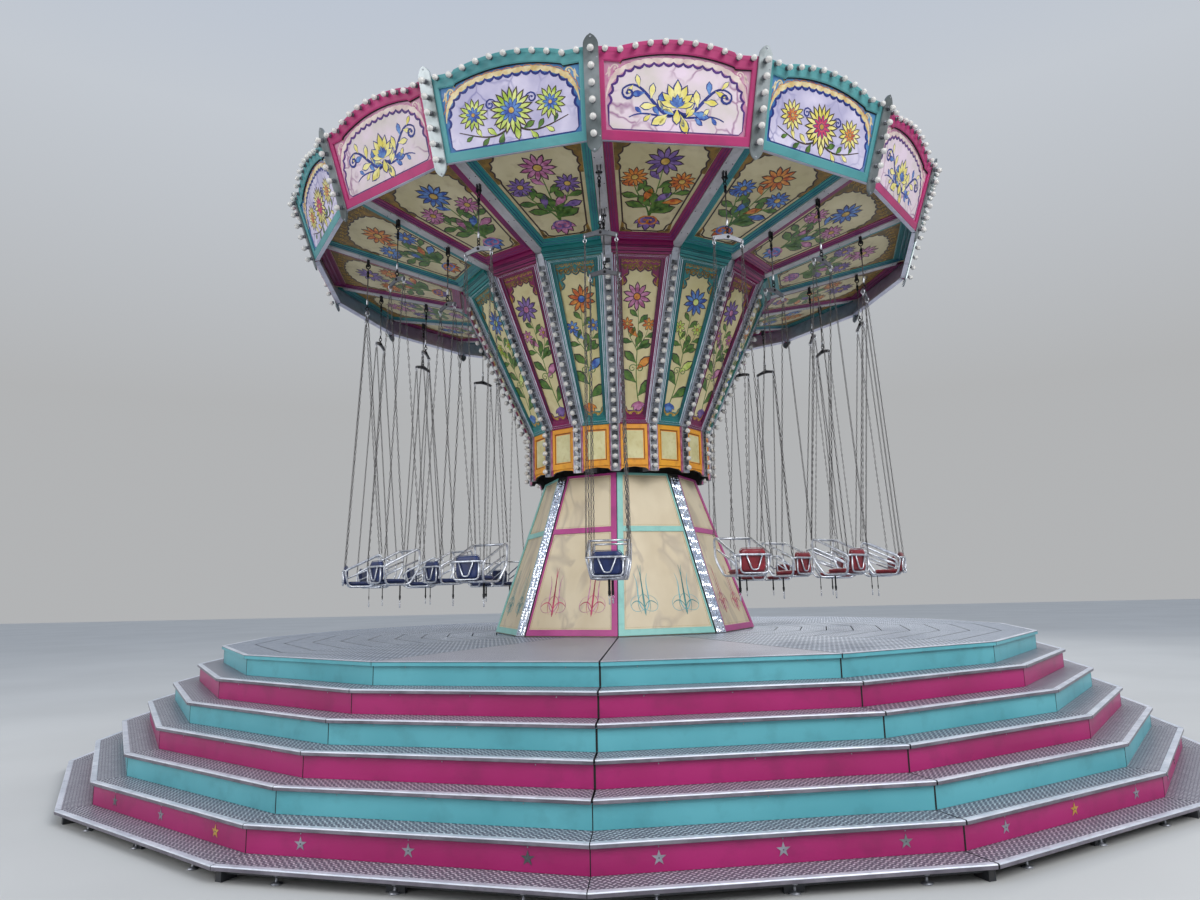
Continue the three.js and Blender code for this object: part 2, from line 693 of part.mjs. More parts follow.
const outerSeat = seatGeometry(pivotZ(OUTER_HOOK_RADIUS));
const innerSeat = seatGeometry(pivotZ(INNER_HOOK_RADIUS));
for (let step = 0; step < SIDES; step += 1) {
  const colour = step > 0 && step < SIDES / 2 ? COLOUR.red : COLOUR.blue;
  addSeat(`seat_outer_${step + 1}`, step, OUTER_HOOK_RADIUS, outerSeat, colour);
  if (hasInnerSeat(step)) {
    addSeat(`seat_inner_${step / 2 + 1}`, step, INNER_HOOK_RADIUS, innerSeat, colour);
  }
}

export default group;
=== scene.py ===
import math

import bmesh
import bpy
from mathutils import Matrix, Vector


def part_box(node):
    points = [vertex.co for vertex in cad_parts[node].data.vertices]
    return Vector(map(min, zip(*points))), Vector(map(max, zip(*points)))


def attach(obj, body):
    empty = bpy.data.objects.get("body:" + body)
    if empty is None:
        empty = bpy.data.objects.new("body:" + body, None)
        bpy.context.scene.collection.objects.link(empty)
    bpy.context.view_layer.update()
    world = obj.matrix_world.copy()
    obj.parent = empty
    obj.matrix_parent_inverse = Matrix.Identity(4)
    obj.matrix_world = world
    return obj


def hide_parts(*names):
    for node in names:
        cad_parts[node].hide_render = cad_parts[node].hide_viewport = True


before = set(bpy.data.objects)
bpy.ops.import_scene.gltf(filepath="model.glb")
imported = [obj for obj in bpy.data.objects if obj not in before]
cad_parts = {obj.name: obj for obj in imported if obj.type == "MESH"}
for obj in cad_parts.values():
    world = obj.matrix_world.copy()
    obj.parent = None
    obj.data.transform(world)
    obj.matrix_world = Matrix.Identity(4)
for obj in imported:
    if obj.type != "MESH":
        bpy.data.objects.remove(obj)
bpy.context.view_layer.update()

# Chair swing ride. Metres, +Z up, the front corner of every ring towards -Y.
SIDES = 16
TOWER_SIDES = 8
HALF_SIDE = math.pi / SIDES
FLATTEN = math.cos(HALF_SIDE)
WORLD = Matrix.Identity(4)
HANDS = (-1, 1)
SKIN = 0.0003  # gap between a board and what lies on it
ORNAMENT_LIFT = 0.0006

# Podium
TREAD_COUNT = 6
FIRST_TREAD_RADIUS = 6.0
GOING = 0.226
RISE = 0.179
FIRST_TREAD_Z = 0.110
PLATE = 0.030
NOSING = 0.030
NOSE_FOLD = 0.008
NOSE_BAND = 0.042
RISER_PLATE = 0.020
DECK_Z = FIRST_TREAD_Z + TREAD_COUNT * RISE
DECK_RADIUS = FIRST_TREAD_RADIUS - TREAD_COUNT * GOING
DECK_EDGE = 0.045
DECK_HOLE_RADIUS = 0.42
FRONT_DECK_RINGS = [DECK_RADIUS - DECK_EDGE, 3.72, 2.70, DECK_HOLE_RADIUS]
PLANK = 0.298
PLANK_GAP = 0.012
SEAM = 0.003
FRONT_SEAM = 0.007
RIGHT_SEAM = 0.006
STAR_RADIUS = 0.044
STAR_WAIST = 0.38
STAR_Z = 0.075
STAR_PLACES = [-0.73, 0.0, 0.75]
FOOT_PLACES = [-0.78, 0.0, 0.78]
FOOT_INSET = 0.10

# Tower
TOWER_BOTTOM_RADIUS = 1.628
TOWER_TOP_RADIUS = 0.968
TOWER_TOP_Z = 3.060
TOWER_STRIP_WIDTH = 0.155
TOWER_RAIL_Z = 2.375
PYRAMID_COLUMNS = 4
PYRAMID_HEIGHT = 0.0125
PLUME_SIZE = 0.48
PLUME_Y = 0.33

# Head
COLLAR_RADIUS = 1.155
COLLAR_BOTTOM_Z = 3.050
COLLAR_TOP_Z = 3.612
COLLAR_FRAME = (0.068, 0.555)
COLLAR_WINDOW = (0.134, 0.502)
FUNNEL_TOP_RADIUS = 2.009
FUNNEL_TOP_Z = 5.455
FUNNEL_WINDOW_FOOT = 0.115
RAIL_WIDTH = 0.095
RAIL_DEPTH = 0.025
RAIL_LIP = 0.008
CORNICE_WIDTH = 0.090
CORNICE_HEIGHT = 0.078
BEAM_WIDTH = 0.110
BEAM_FOOT_RADIUS = 2.016
BEAM_FOOT_Z = 5.470
BEAM_SLOPE = 0.235
BEAM_BOLT_RADII = [2.25 + 0.36 * k for k in range(5)]
CEILING_RECESS = 0.030
CEILING_INNER_RADIUS = 2.040
BOUQUET_SIZE = 0.98

# Crown
CROWN_BOTTOM_RADIUS = 3.851
CROWN_BOTTOM_Z = 5.664
CROWN_TOP_RADIUS = 4.101
CROWN_TOP_Z = 6.417
CROWN_PANEL = 0.040
CROWN_RECESS = -0.024
CROWN_FIELD_Y = 0.103
CROWN_NOTCH = 0.034
CROWN_ARCH = 0.095
CROWN_SHOULDER_STEP = 0.020
CROWN_SHOULDER_SHARE = 0.17
STRIP_WIDTH = 0.136
STRIP_BELOW = 0.115
STRIP_ABOVE = 0.100

# Lamps
RAIL_LAMP = 0.031
CROWN_LAMP = 0.029
PLATE_LAMP = 0.032
RAIL_LAMP_PITCH = 0.117
COLLAR_LAMPS = 5
ARCH_LAMPS = 11
PLATE_LAMPS = 6
PLATE_LAMP_PITCH = 0.143
SOCKET_SIDES = 8
GLOBE_SIDES = 10

# Seats: x across, y towards the tower, heights above the ground
OUTER_HOOK_RADIUS = 3.220
INNER_HOOK_RADIUS = 2.590
HOOK_DROP = 0.070
HOOK_CHEEK = 0.0212
SPREADER_DROP = 0.640
SPREADER_WIDTH = 0.335
SPREADER_EYE_X = SPREADER_WIDTH / 2 - 0.016
SEAT_SIDE = 0.183
SEAT_FOOT_SIDE = 0.145
FRONT_BAR_Z = 2.150
BACK_BAR_Z = 1.965
SEAT_BOTTOM_Z = 1.790
PAD_HALF = 0.134
PAD = 0.042
PAD_SWELL = 0.007
PAD_VOXEL = 0.0125
PAD_PRESSURE = 4.0
PAD_FRAMES = 20
PIPING_RADIUS = 0.0032
CORNER = 0.045
BACK_Y = -0.170
FRONT_Y = 0.225
PAN_FRONT_Y = 0.125
BACKREST_TOP_Z = 2.032
STRAP_END_Z = 1.552
TUBE_RADIUS = 0.0115
LINK_PITCH = 0.042
LINK_WIDTH = 0.016
LINK_WIRE = 0.0034

# Camera and floor
CAMERA_PLACE = (0.4109, -10.668, 1.676)
CAMERA_TURN = (-3.544, 9.682, -1.285)  # yaw, pitch and roll in degrees
CAMERA_LENS = 24.81
CAMERA_SENSOR = 36.0
CAMERA_REACH = 200.0
FLOOR_HALF = 60.0

# Finishes: two tones and a grime in percent of red, green and blue
SATIN = (0.35, 0.5)
GLOSS = (0.3, 0.45)
MATT = (0.4, 0.6)
DARK_DIRT = (25, 22, 22)
FINISHES = {  # first tone, second tone, scale of their clouds, roughness, metal, grime, coat
    "teal_enamel": ((33, 65, 69), (38, 70, 74), 1.3, SATIN, 0, (24, 48, 51), 0.1),
    "pink_enamel": ((62, 7, 37), (68, 10, 42), 1.3, SATIN, 0, (40, 8, 26), 0.1),
    "crown_teal": ((27, 55, 57), (35, 62, 63), 1.3, SATIN, 0, (22, 46, 46), 0.1),
    "crown_pink": ((64, 11, 37), (72, 18, 44), 1.3, SATIN, 0, (46, 12, 32), 0.1),
    "tower_teal": ((48, 74, 70), (54, 79, 75), 2.0, SATIN, 0, (36, 58, 56), 0.1),
    "tower_pink": ((66, 18, 48), (73, 24, 54), 2.0, SATIN, 0, (48, 14, 38), 0.1),
    "deep_teal_enamel": ((10, 45, 45), (16, 53, 52), 2.0, GLOSS, 0, (8, 28, 30), 0.15),
    "magenta_enamel": ((46, 4, 28), (54, 7, 34), 2.0, GLOSS, 0, (26, 4, 18), 0.15),
    "amber_enamel": ((88, 57, 9), (94, 66, 14), 3.0, SATIN, 0, (56, 30, 8), 0.1),
    "shade_teal": ((6, 28, 30), (9, 36, 37), 5.0),
    "shade_magenta": ((24, 3, 20), (32, 5, 25), 5.0),
    "amber_shade": ((52, 28, 8), (64, 36, 11), 6.0),
    "inset_cream": ((80, 76, 54), (86, 83, 64), 5.0, (0.4, 0.55), 0, (70, 60, 34)),
    "board_cream": ((80, 75, 53), (87, 82, 64), 2.2, (0.4, 0.55), 0, (70, 60, 38)),
    "ceiling_cream": ((76, 71, 54), (84, 79, 64), 1.8, MATT, 0, (58, 48, 36)),
    "blue_border": ((14, 36, 62), (34, 56, 74), 3.5, GLOSS, 0, (72, 66, 76)),
    "rose_border": ((80, 66, 72), (74, 40, 58), 3.5, GLOSS, 0, (84, 76, 76)),
    "navy_line": ((6, 10, 42), (12, 20, 52), 9.0),
    "violet_line": ((22, 8, 40), (32, 13, 48), 9.0),
    "brown_line": ((16, 11, 12), (26, 17, 16), 9.0),
    "pale_line": ((82, 72, 70), (92, 86, 82), 9.0),
    "silver_line": ((74, 76, 82), (88, 90, 94), 12.0, (0.25, 0.4), 0.3),
    "gold_scroll": ((54, 43, 14), (74, 57, 23), 22.0, MATT, 0, (30, 26, 12)),
    "bronze_scroll": ((36, 29, 12), (58, 44, 18), 9.0, MATT, 0, (24, 26, 14)),
    "gold_light": ((70, 54, 20), (84, 70, 36), 15.0),
    "gold_lace": ((82, 70, 44), (92, 86, 70), 14.0),
    "blue_petal": ((16, 28, 62), (42, 60, 82), 16.0),
    "lime_petal": ((58, 70, 14), (88, 90, 56), 9.0),
    "yellow_petal": ((86, 80, 34), (94, 90, 62), 9.0),
    "crimson_petal": ((62, 10, 26), (80, 26, 42), 12.0),
    "rose_petal": ((62, 28, 46), (82, 56, 70), 16.0),
    "orange_petal": ((72, 28, 10), (88, 60, 24), 16.0),
    "violet_petal": ((32, 22, 48), (56, 44, 68), 14.0),
    "leaf_green": ((20, 36, 14), (38, 52, 20), 18.0),
    # painted shade: the plates' front lips, darker than the nose band of the same plate for the dark ground
    # they face
    "lip_metal_painted_shade": ((44, 42, 46), (56, 54, 58), 5.0, GLOSS, 0.7, (30, 29, 31)),
    "silver_rail": ((56, 57, 60), (74, 75, 78), 7.0, (0.36, 0.5), 0.8, DARK_DIRT),
    "dull_metal": ((36, 37, 39), (48, 48, 50), 6.0, (0.3, 0.5), 0.8),
    "plate_metal": ((40, 43, 43), (66, 69, 70), 2.2, GLOSS, 0.85, (26, 28, 28)),
    "back_metal": ((74, 74, 82), (86, 86, 92), 1.5, GLOSS, 0.5, DARK_DIRT),
    "frame_paint": ((16, 17, 19), (24, 25, 27), 3.0, (0.5, 0.7), 0, (32, 28, 24)),
    "galvanised": ((74, 75, 78), (90, 91, 93), 30.0, (0.22, 0.4), 0.9, (40, 38, 36)),
    "chain_steel": ((30, 29, 29), (48, 47, 47), 40.0, (0.35, 0.55), 0.85, (22, 16, 12)),
    "black_iron": ((7, 7, 8), (14, 14, 15), 20.0, (0.35, 0.55), 0.5),
    "dark_mirror": ((18, 18, 19), (48, 49, 51), 14.0, (0.15, 0.3), 0.8),
    # dark joints between boards, and painted shade under the deck's edge lip and along the top of the crown
    # boards' openings
    "dark_joint_and_painted_shade": ((5, 5, 5), (9, 9, 9), 10.0, (0.7, 0.9)),
}
# Paint, shade and line of the head's boards, right and left of an even corner
HEAD_PAINTS = [("magenta_enamel", "shade_magenta", "violet_line"),
               ("deep_teal_enamel", "shade_teal", "deep_teal_enamel")]
materials = {}


# Places in the round: step 0 is the front corner, and steps grow towards +X
def turn(step, sides=SIDES):
    return step * 2 * math.pi / sides


def spot(azimuth, radius, z=0.0):
    return Vector((radius * math.sin(azimuth), -radius * math.cos(azimuth), z))


def shift(x, y, z):
    return Matrix.Translation((x, y, z))


def spin(angle, axis="Z"):
    return Matrix.Rotation(angle, 4, axis)


def basis(x_axis, y_axis, z_axis):
    return Matrix((x_axis, y_axis, z_axis)).transposed().to_4x4()


class Facet:
    """One flat side of a tapered ring, or with half 0 one of its corners: x runs along it, y up its
    slope and z out of it."""

    def __init__(self, step, low_radius, low_z, high_radius, high_z, half=HALF_SIDE):
        azimuth = turn(step)
        self.low_half = low_radius * math.sin(half)
        self.high_half = high_radius * math.sin(half)
        start = spot(azimuth, low_radius * math.cos(half), low_z)
        end = spot(azimuth, high_radius * math.cos(half), high_z)
        self.length = (end - start).length
        up = (end - start).normalized()
        side = Vector((math.cos(azimuth), math.sin(azimuth), 0))
        self.matrix = Matrix.Translation(start) @ basis(side, up, side.cross(up))

    def half_at(self, y):
        return self.low_half + (self.high_half - self.low_half) * y / self.length


# Outlines and paths: lists of (x, y) points, anticlockwise where they are closed
def rectangle(x0, y0, x1, y1):
    return [(x0, y0), (x1, y0), (x1, y1), (x0, y1)]


def plank(half, low, high, top_half=None):
    """A rectangle or trapezium about the y axis."""
    top = half if top_half is None else top_half
    return [(-half, low), (half, low), (top, high), (-top, high)]


def mirrored(path):
    return [(-x, y) for x, y in reversed(path)]


def moved(outline, x, y, angle=0.0):
    c, s = math.cos(angle), math.sin(angle)
    return [(x + px * c - py * s, y + px * s + py * c) for px, py in outline]


def inwards(outer, inner, share):
    """The outline at a share of the way between two others."""
    return [(ox + (ix - ox) * share, oy + (iy - oy) * share) for (ox, oy), (ix, iy) in zip(outer, inner)]


def neighbours(path, i, closed):
    count = len(path)
    before = path[(i - 1) % count] if closed or i > 0 else path[i]
    after = path[(i + 1) % count] if closed or i < count - 1 else path[i]
    return before, after


def sides_of(path, widths, closed):
    """Points to the left and right of a flat path."""
    left, right = [], []
    for i, (x, y) in enumerate(path):
        before, after = neighbours(path, i, closed)
        dx, dy = after[0] - before[0], after[1] - before[1]
        size = math.hypot(dx, dy) or 1.0
        half = widths[i] / 2
        left.append((x - dy / size * half, y + dx / size * half))
        right.append((x + dy / size * half, y - dx / size * half))
    return left, right


def rounded(points, radius, steps=4, closed=False):
    """A path in space with its corners rounded off."""
    points = [Vector(p) for p in points]
    path = []
    for i, corner in enumerate(points):
        if not closed and i in (0, len(points) - 1):
            path.append(corner)
            continue
        before, after = (p - corner for p in neighbours(points, i, closed))
        reach = min(radius, before.length * 0.49, after.length * 0.49)
        start = corner + before.normalized() * reach
        end = corner + after.normalized() * reach
        for k in range(steps + 1):
            t = k / steps
            path.append(start * (1 - t) ** 2 + corner * 2 * t * (1 - t) + end * t ** 2)
    return path


def bezier(start, leave, arrive, end, steps=12):
    corners = (start, leave, arrive, end)
    path = []
    for k in range(steps + 1):
        t = k / steps
        weights = ((1 - t) ** 3, 3 * t * (1 - t) ** 2, 3 * t * t * (1 - t), t ** 3)
        path.append(tuple(sum(w * c[axis] for w, c in zip(weights, corners)) for axis in (0, 1)))
    return path


def evenly(path, count):
    """The same path in equal steps."""
    reach = [0.0]
    for a, b in zip(path, path[1:]):
        reach.append(reach[-1] + math.hypot(b[0] - a[0], b[1] - a[1]))
    points = []
    k = 0
    for i in range(count + 1):
        want = reach[-1] * i / count
        while k < len(path) - 2 and reach[k + 1] < want:
            k += 1
        points += inwards([path[k]], [path[k + 1]], (want - reach[k]) / (reach[k + 1] - reach[k]))
    return points


def scalloped(path, bumps, depth):
    """The path with scallops that bulge to its left."""
    steps = 4
    path = evenly(path, bumps * steps)
    widths = [2 * depth * abs(math.sin(math.pi * k / steps)) for k in range(len(path))]
    return sides_of(path, widths, False)[0]


def circle(x, y, radius, steps):
    angles = (turn(k, steps) for k in range(steps))
    return [(x + radius * math.cos(angle), y + radius * math.sin(angle)) for angle in angles]


def star():
    """Five points, with the first one up."""
    outline = []
    for k in range(10):
        reach = STAR_RADIUS * (STAR_WAIST if k % 2 else 1)
        angle = math.pi / 2 + math.pi * k / 5
        outline.append((reach * math.cos(angle), reach * math.sin(angle)))
    return outline


def petal(length, width):
    """A teardrop from the origin along +y."""
    right = [(width / 2 * math.sin(math.pi * t ** 1.4), length * t) for t in (0.25, 0.5, 0.75)]
    return [(0, 0)] + right + [(0, length)] + mirrored(right)


def spiral(radius, turns, tail):
    """A flat scroll that starts at the origin going +y and winds to the right."""
    path = [(0, -tail)] if tail else []
    steps = 11
    for k in range(steps + 1):
        angle = math.pi - k / steps * turns * 2 * math.pi
        reach = radius * (1 - 0.78 * k / steps)
        path.append((radius + reach * math.cos(angle), reach * math.sin(angle)))
    return path


def tapering(count, wide, thin):
    """Widths along a stroke that swells from its start and runs out thin."""
    shares = (min(1.0, 0.15 + 0.85 * k / (count - 1)) for k in range(count))
    return [thin + (wide - thin) * math.sin(math.pi * share) for share in shares]


def loop_faces(rings, count, closed):
    faces = []
    for ring in range(rings if closed else rings - 1):
        here, following = ring * count, (ring + 1) % rings * count
        for i in range(count):
            j = (i + 1) % count
            faces.append((here + i, here + j, following + j, following + i))
    return faces


class Piece:
    """Gathers closed shells, each face with a finish, and makes one object of them. Shapes are drawn
    in the plane that self.matrix places, or in one that `at` shifts from it."""

    def __init__(self, name):
        self.name = name
        self.matrix = WORLD
        self.points, self.flats, self.faces = [], [], []
        self.kinds, self.smooth, self.finishes = [], [], []

    def add(self, points, faces, finish, at=WORLD, smooth=False):
        start = len(self.points)
        if finish not in self.finishes:
            self.finishes.append(finish)
        place = self.matrix @ at
        self.points += [place @ Vector(p) for p in points]
        self.flats += [(p[0], p[1]) for p in points]
        self.faces += [tuple(start + i for i in face) for face in faces]
        self.kinds += [self.finishes.index(finish)] * len(faces)
        self.smooth += [smooth] * len(faces)

    def prism(self, outline, low, high, finish, at=WORLD):
        count = len(outline)
        points = [(x, y, z) for z in (low, high) for x, y in outline]
        ends = [tuple(reversed(range(count))), tuple(range(count, 2 * count))]
        self.add(points, loop_faces(2, count, False) + ends, finish, at)

    def moulding(self, outer, inner, section, finish, foot=SKIN):
        """A closed frame between two outlines, from its section as (share inwards, height) points."""
        section = [(0, foot)] + section + [(1, foot)]
        points = [(x, y, height) for share, height in section for x, y in inwards(outer, inner, share)]
        self.add(points, loop_faces(len(section), len(outer), True), finish)

    def ribbon(self, path, width, low, high, finish, closed=False):
        """A flat raised line along a path. Its width is one value, or one for each point."""
        widths = width if isinstance(width, list) else [width] * len(path)
        points = []
        for (lx, ly), (rx, ry) in zip(*sides_of(path, widths, closed)):
            points += [(rx, ry, low), (lx, ly, low), (lx, ly, high), (rx, ry, high)]
        last = len(points) - 4
        ends = [] if closed else [(3, 2, 1, 0), (last, last + 1, last + 2, last + 3)]
        self.add(points, loop_faces(len(path), 4, closed) + ends, finish)

    def sweep(self, path, radius, sides, finish, closed=False, at=WORLD):
        """A round tube along points in space."""
        path = [Vector(p) for p in path]
        points = []
        across = None
        for i, place in enumerate(path):
            before, after = neighbours(path, i, closed)
            ahead = (after - before).normalized()
            if across is None:
                across = ahead.orthogonal().normalized()
            across = (across - ahead * across.dot(ahead)).normalized()
            upward = ahead.cross(across)
            points += [place + (across * c + upward * s) * radius for c, s in circle(0, 0, 1, sides)]
        last = len(points) - sides
        ends = [] if closed else [tuple(reversed(range(sides))), tuple(range(last, last + sides))]
        self.add(points, loop_faces(len(path), sides, closed) + ends, finish, at, True)

    def lathe(self, profile, sides, finish, at=WORLD, smooth=True):
        """A solid of revolution round z from (radius, height) points, starting and ending on the axis."""
        inner = profile[1:-1]
        points = [(0, 0, profile[0][1])]
        for radius, z in inner:
            points += [(x, y, z) for x, y in circle(0, 0, radius, sides)]
        last = len(points)
        points.append((0, 0, profile[-1][1]))
        faces = [tuple(1 + i for i in face) for face in loop_faces(len(inner), sides, False)]
        for k in range(sides):
            j = (k + 1) % sides
            faces += [(0, 1 + j, 1 + k), (last, last - sides + k, last - sides + j)]
        self.add(points, faces, finish, at, smooth)

    def ring_side(self, side, section, cuts, finishes):
        """One mitred side of a ring from its section as (apothem, z) points. cuts are what each end
        is shortened by, and finishes has one for each face of the section."""
        slope = math.tan(HALF_SIDE)
        left = [(-a * slope + cuts[0], -a, z) for a, z in section]
        right = [(a * slope - cuts[1], -a, z) for a, z in section]
        at = spin(turn(side + 0.5))
        for i, finish in enumerate(finishes):
            j = (i + 1) % len(section)
            self.add([left[i], right[i], right[j], left[j]], [(0, 1, 2, 3)], finish, at)
        for end in (left, right):
            self.add(end, [tuple(range(len(section)))], finishes[0], at)

    def screw(self, x, y, z, radius, finish):
        head = [(0, 0), (radius, 0), (radius, radius * 0.3), (radius * 0.6, radius * 0.6), (0, radius * 0.7)]
        self.lathe(head, 8, finish, shift(x, y, z))

    def mesh(self):
        mesh = bpy.data.meshes.new(self.name)
        mesh.from_pydata(self.points, [], self.faces)
        flat = mesh.uv_layers.new(name="flat")
        corners = [0] * len(mesh.loops)
        mesh.loops.foreach_get("vertex_index", corners)
        flat.data.foreach_set("uv", [value for i in corners for value in self.flats[i]])
        mesh.polygons.foreach_set("material_index", self.kinds)
        mesh.polygons.foreach_set("use_smooth", self.smooth)
        for finish in self.finishes:
            mesh.materials.append(materials[finish])
        shell = bmesh.new()
        shell.from_mesh(mesh)
        bmesh.ops.recalc_face_normals(shell, faces=shell.faces)
        shell.to_mesh(mesh)
        shell.free()
        return mesh

    def make(self, body, slot, *replaced):
        put(self.name, self.mesh(), body, replaced)


def show(name, data):
    made = bpy.data.objects.new(name, data)
    bpy.context.scene.collection.objects.link(made)
    return made


def put(name, mesh, body, replaced=(), matrix=WORLD):
    """Shows a piece that rides on a body and stands in for the replaced nodes."""
    piece = show(name, mesh)
    piece.matrix_world = matrix
    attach(piece, body)
    if replaced:
        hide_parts(*replaced)
    return piece


# Materials
def tone(percents):
    """A colour in percent of red, green and blue, as the shader's linear values."""
    shares = [value / 100 for value in percents]
    return tuple(((c + 0.055) / 1.055) ** 2.4 if c > 0.04045 else c / 12.92 for c in shares) + (1.0,)


class Nodes:
    """Adds nodes to a tree. An input is a plain value or another node's output."""

    def __init__(self, tree):
        self.tree = tree

    def add(self, kind, inputs, output, **settings):
        made = self.tree.nodes.new("ShaderNode" + kind)
        for key, value in settings.items():
            setattr(made, key, value)
        for key, value in inputs.items():
            if isinstance(value, bpy.types.NodeSocket):
                self.tree.links.new(value, made.inputs[key])
            else:
                made.inputs[key].default_value = value
        return made.outputs[output]

    def coordinates(self, flat=False, stretch=(1, 1, 1)):
        source = self.add("UVMap", {}, "UV", uv_map="flat") if flat else self.add("TexCoord", {}, "Object")
        return self.add("Mapping", {"Vector": source, "Scale": stretch}, "Vector")

    def noise(self, place, scale, detail=3.0):
        return self.add("TexNoise", {"Vector": place, "Scale": scale, "Detail": detail}, "Fac")

    def ramp(self, factor, stops):
        colour = self.add("ValToRGB", {"Fac": factor}, "Color")
        elements = colour.node.color_ramp.elements
        while len(elements) < len(stops):
            elements.new(0.5)
        for element, (place, value) in zip(elements, stops):
            element.position = place
            element.color = value if isinstance(value, tuple) else (value, value, value, 1.0)
        return colour

    def mix(self, factor, first, second):
        return self.add("Mix", {0: factor, 6: first, 7: second}, 2, data_type="RGBA")

    def choose(self, factor, first, second):
        return self.add("Mix", {0: factor, 2: first, 3: second}, 0, data_type="FLOAT")

    def maths(self, operation, first, second=0.0):
        return self.add("Math", {0: first, 1: second}, 0, operation=operation)

    def times(self, first, second):
        return self.maths("MULTIPLY", first, second)

    def between(self, value, low, high):
        return self.add("MapRange", {"Value": value, "To Min": low, "To Max": high}, "Result")

    def split(self, vector):
        return list(self.add("SeparateXYZ", {"Vector": vector}, "X").node.outputs)


class Finish(Nodes):
    """A material of two clouded tones, with roughness that follows them, grime and a fine relief."""

    def __init__(self, name, first, second, scale, rough=GLOSS, metal=0.0, grime=None, coat=0.0,
                 grain=90.0, relief=0.0004, stretch=(1, 1, 1), flat=False):
        material = bpy.data.materials.new(name)
        materials[name] = material
        material.use_nodes = True
        super().__init__(material.node_tree)
        self.inputs = self.tree.nodes["Principled BSDF"].inputs
        place = self.coordinates(flat, stretch)
        cloud = self.noise(place, scale)
        colour = self.ramp(cloud, [(0.35, tone(first)), (0.65, tone(second))])
        if grime:
            amount = self.ramp(self.noise(place, scale * 4.3, 9.0), [(0.52, 0.0), (0.74, 0.35)])
            colour = self.mix(amount, colour, tone(grime))
        self.link(colour, "Base Color")
        self.link(self.between(cloud, *rough), "Roughness")
        self.inputs["Metallic"].default_value = metal
        self.inputs["Coat Weight"].default_value = coat
        self.inputs["Coat Roughness"].default_value = 0.12
        self.bump(self.noise(place, grain, 4.0), relief)

    def link(self, output, socket):
        self.tree.links.new(output, self.inputs[socket])

    def bump(self, height, distance, strength=1.0):
        inputs = {"Height": height, "Distance": distance, "Strength": strength}
        self.link(self.add("Bump", inputs, "Normal"), "Normal")

    def cover(self, share, colour):
        """Lays another colour over the base."""
        base = self.inputs["Base Color"].links[0].from_socket
        self.link(self.mix(share, base, tone(colour)), "Base Color")


def chequer_plate(name, pitch, dark, bright):
    """Worn aluminium tread plate: pairs of raised dashes that turn a quarter from one square to the next."""
    made = Finish(name, dark, dark, 5.0, (0.3, 0.5), 0.35, flat=True)
    across, along, _ = made.split(made.coordinates(True, (0.71 / pitch, 0.71 / pitch, 1)))
    x = made.maths("ADD", across, along)
    y = made.maths("SUBTRACT", across, along)
    squares = made.maths("ADD", made.maths("FLOOR", x), made.maths("FLOOR", y))
    odd = made.maths("GREATER_THAN", made.maths("ABSOLUTE", made.maths("MODULO", squares, 2.0)), 0.5)
    phase = made.times(made.maths("SUBTRACT", made.choose(odd, x, y), 0.5), 2 * math.pi)
    bars = made.ramp(made.maths("COSINE", phase), [(0.35, 0.0), (0.75, 1.0)])
    ends = made.maths("PINGPONG", made.choose(odd, y, x), 0.5)
    dash = made.times(bars, made.ramp(ends, [(0.06, 0.0), (0.16, 1.0)]))
    worn = made.ramp(made.noise(made.coordinates(True), 9.0, 6.0), [(0.3, 0.55), (0.7, 1.0)])
    made.link(made.mix(made.times(dash, worn), tone(dark), tone(bright)), "Base Color")
    made.link(made.between(dash, 0.50, 0.28), "Roughness")
    made.bump(dash, 0.0025)


def vein_board(name, first, second, vein, vein_share):
    """A painted board with soft clouds and thin branching veins."""
    made = Finish(name, first, second, 3.0, SATIN, relief=0.0002)
    place = made.coordinates()
    bent = made.add("TexNoise", {"Vector": place, "Scale": 6.0}, "Color")
    joined = made.add("Mix", {0: 0.12, 4: place, 5: bent}, 1, data_type="VECTOR")
    cells = made.add("TexVoronoi", {"Vector": joined, "Scale": 5.0}, "Distance", feature="DISTANCE_TO_EDGE")
    thin = made.ramp(cells, [(0.0, vein_share), (0.06, 0.0)])
    patches = made.ramp(made.noise(place, 2.0), [(0.45, 0.0), (0.6, 1.0)])
    made.cover(made.times(thin, patches), vein)


def tower_cream():
    """A cream board with soft drifting smoke."""
    made = Finish("tower_cream", (80, 73, 60), (86, 80, 68), 2.2, SATIN, relief=0.0002, stretch=(1, 1, 0.7))
    place = made.coordinates(stretch=(1, 1, 0.55))
    drift = made.add("TexNoise", {"Vector": place, "Scale": 2.2, "Detail": 2.0, "Distortion": 1.1}, "Fac")
    made.cover(made.ramp(drift, [(0.50, 0.0), (0.58, 0.42), (0.66, 0.0)]), (58, 52, 48))


def beam_paint():
    """Grey beams, with everything that hangs below them in black."""
    made = Finish("beam_paint", (64, 63, 64), (74, 73, 74), 3.0, MATT, 0, (42, 40, 40))
    x, y, z = made.split(made.coordinates())
    radius = made.maths("SQRT", made.maths("ADD", made.times(x, x), made.times(y, y)))
    rise = made.times(made.maths("SUBTRACT", radius, BEAM_FOOT_RADIUS), BEAM_SLOPE)
    below = made.maths("LESS_THAN", z, made.maths("ADD", rise, BEAM_FOOT_Z - 0.003))
    outside = made.maths("GREATER_THAN", radius, BEAM_FOOT_RADIUS + 0.2)
    made.cover(made.times(below, outside), (9, 9, 10))


def amber_with_painted_shade():
    """Amber for upright boards round the axis, with painted shade in near black on what doesn't face outwards
    and on the top and bottom faces.
    """
    made = Finish("amber_with_painted_shade", *FINISHES["amber_enamel"])
    place = made.add("NewGeometry", {}, "Position")
    normal = place.node.outputs["True Normal"]
    outwards = made.add("VectorMath", {0: place, 1: normal}, "Value", operation="DOT_PRODUCT")
    steep = made.maths("GREATER_THAN", made.maths("ABSOLUTE", made.split(normal)[2]), 0.5)
    made.cover(made.maths("MAXIMUM", made.maths("LESS_THAN", outwards, 0.2), steep), (10, 9, 10))


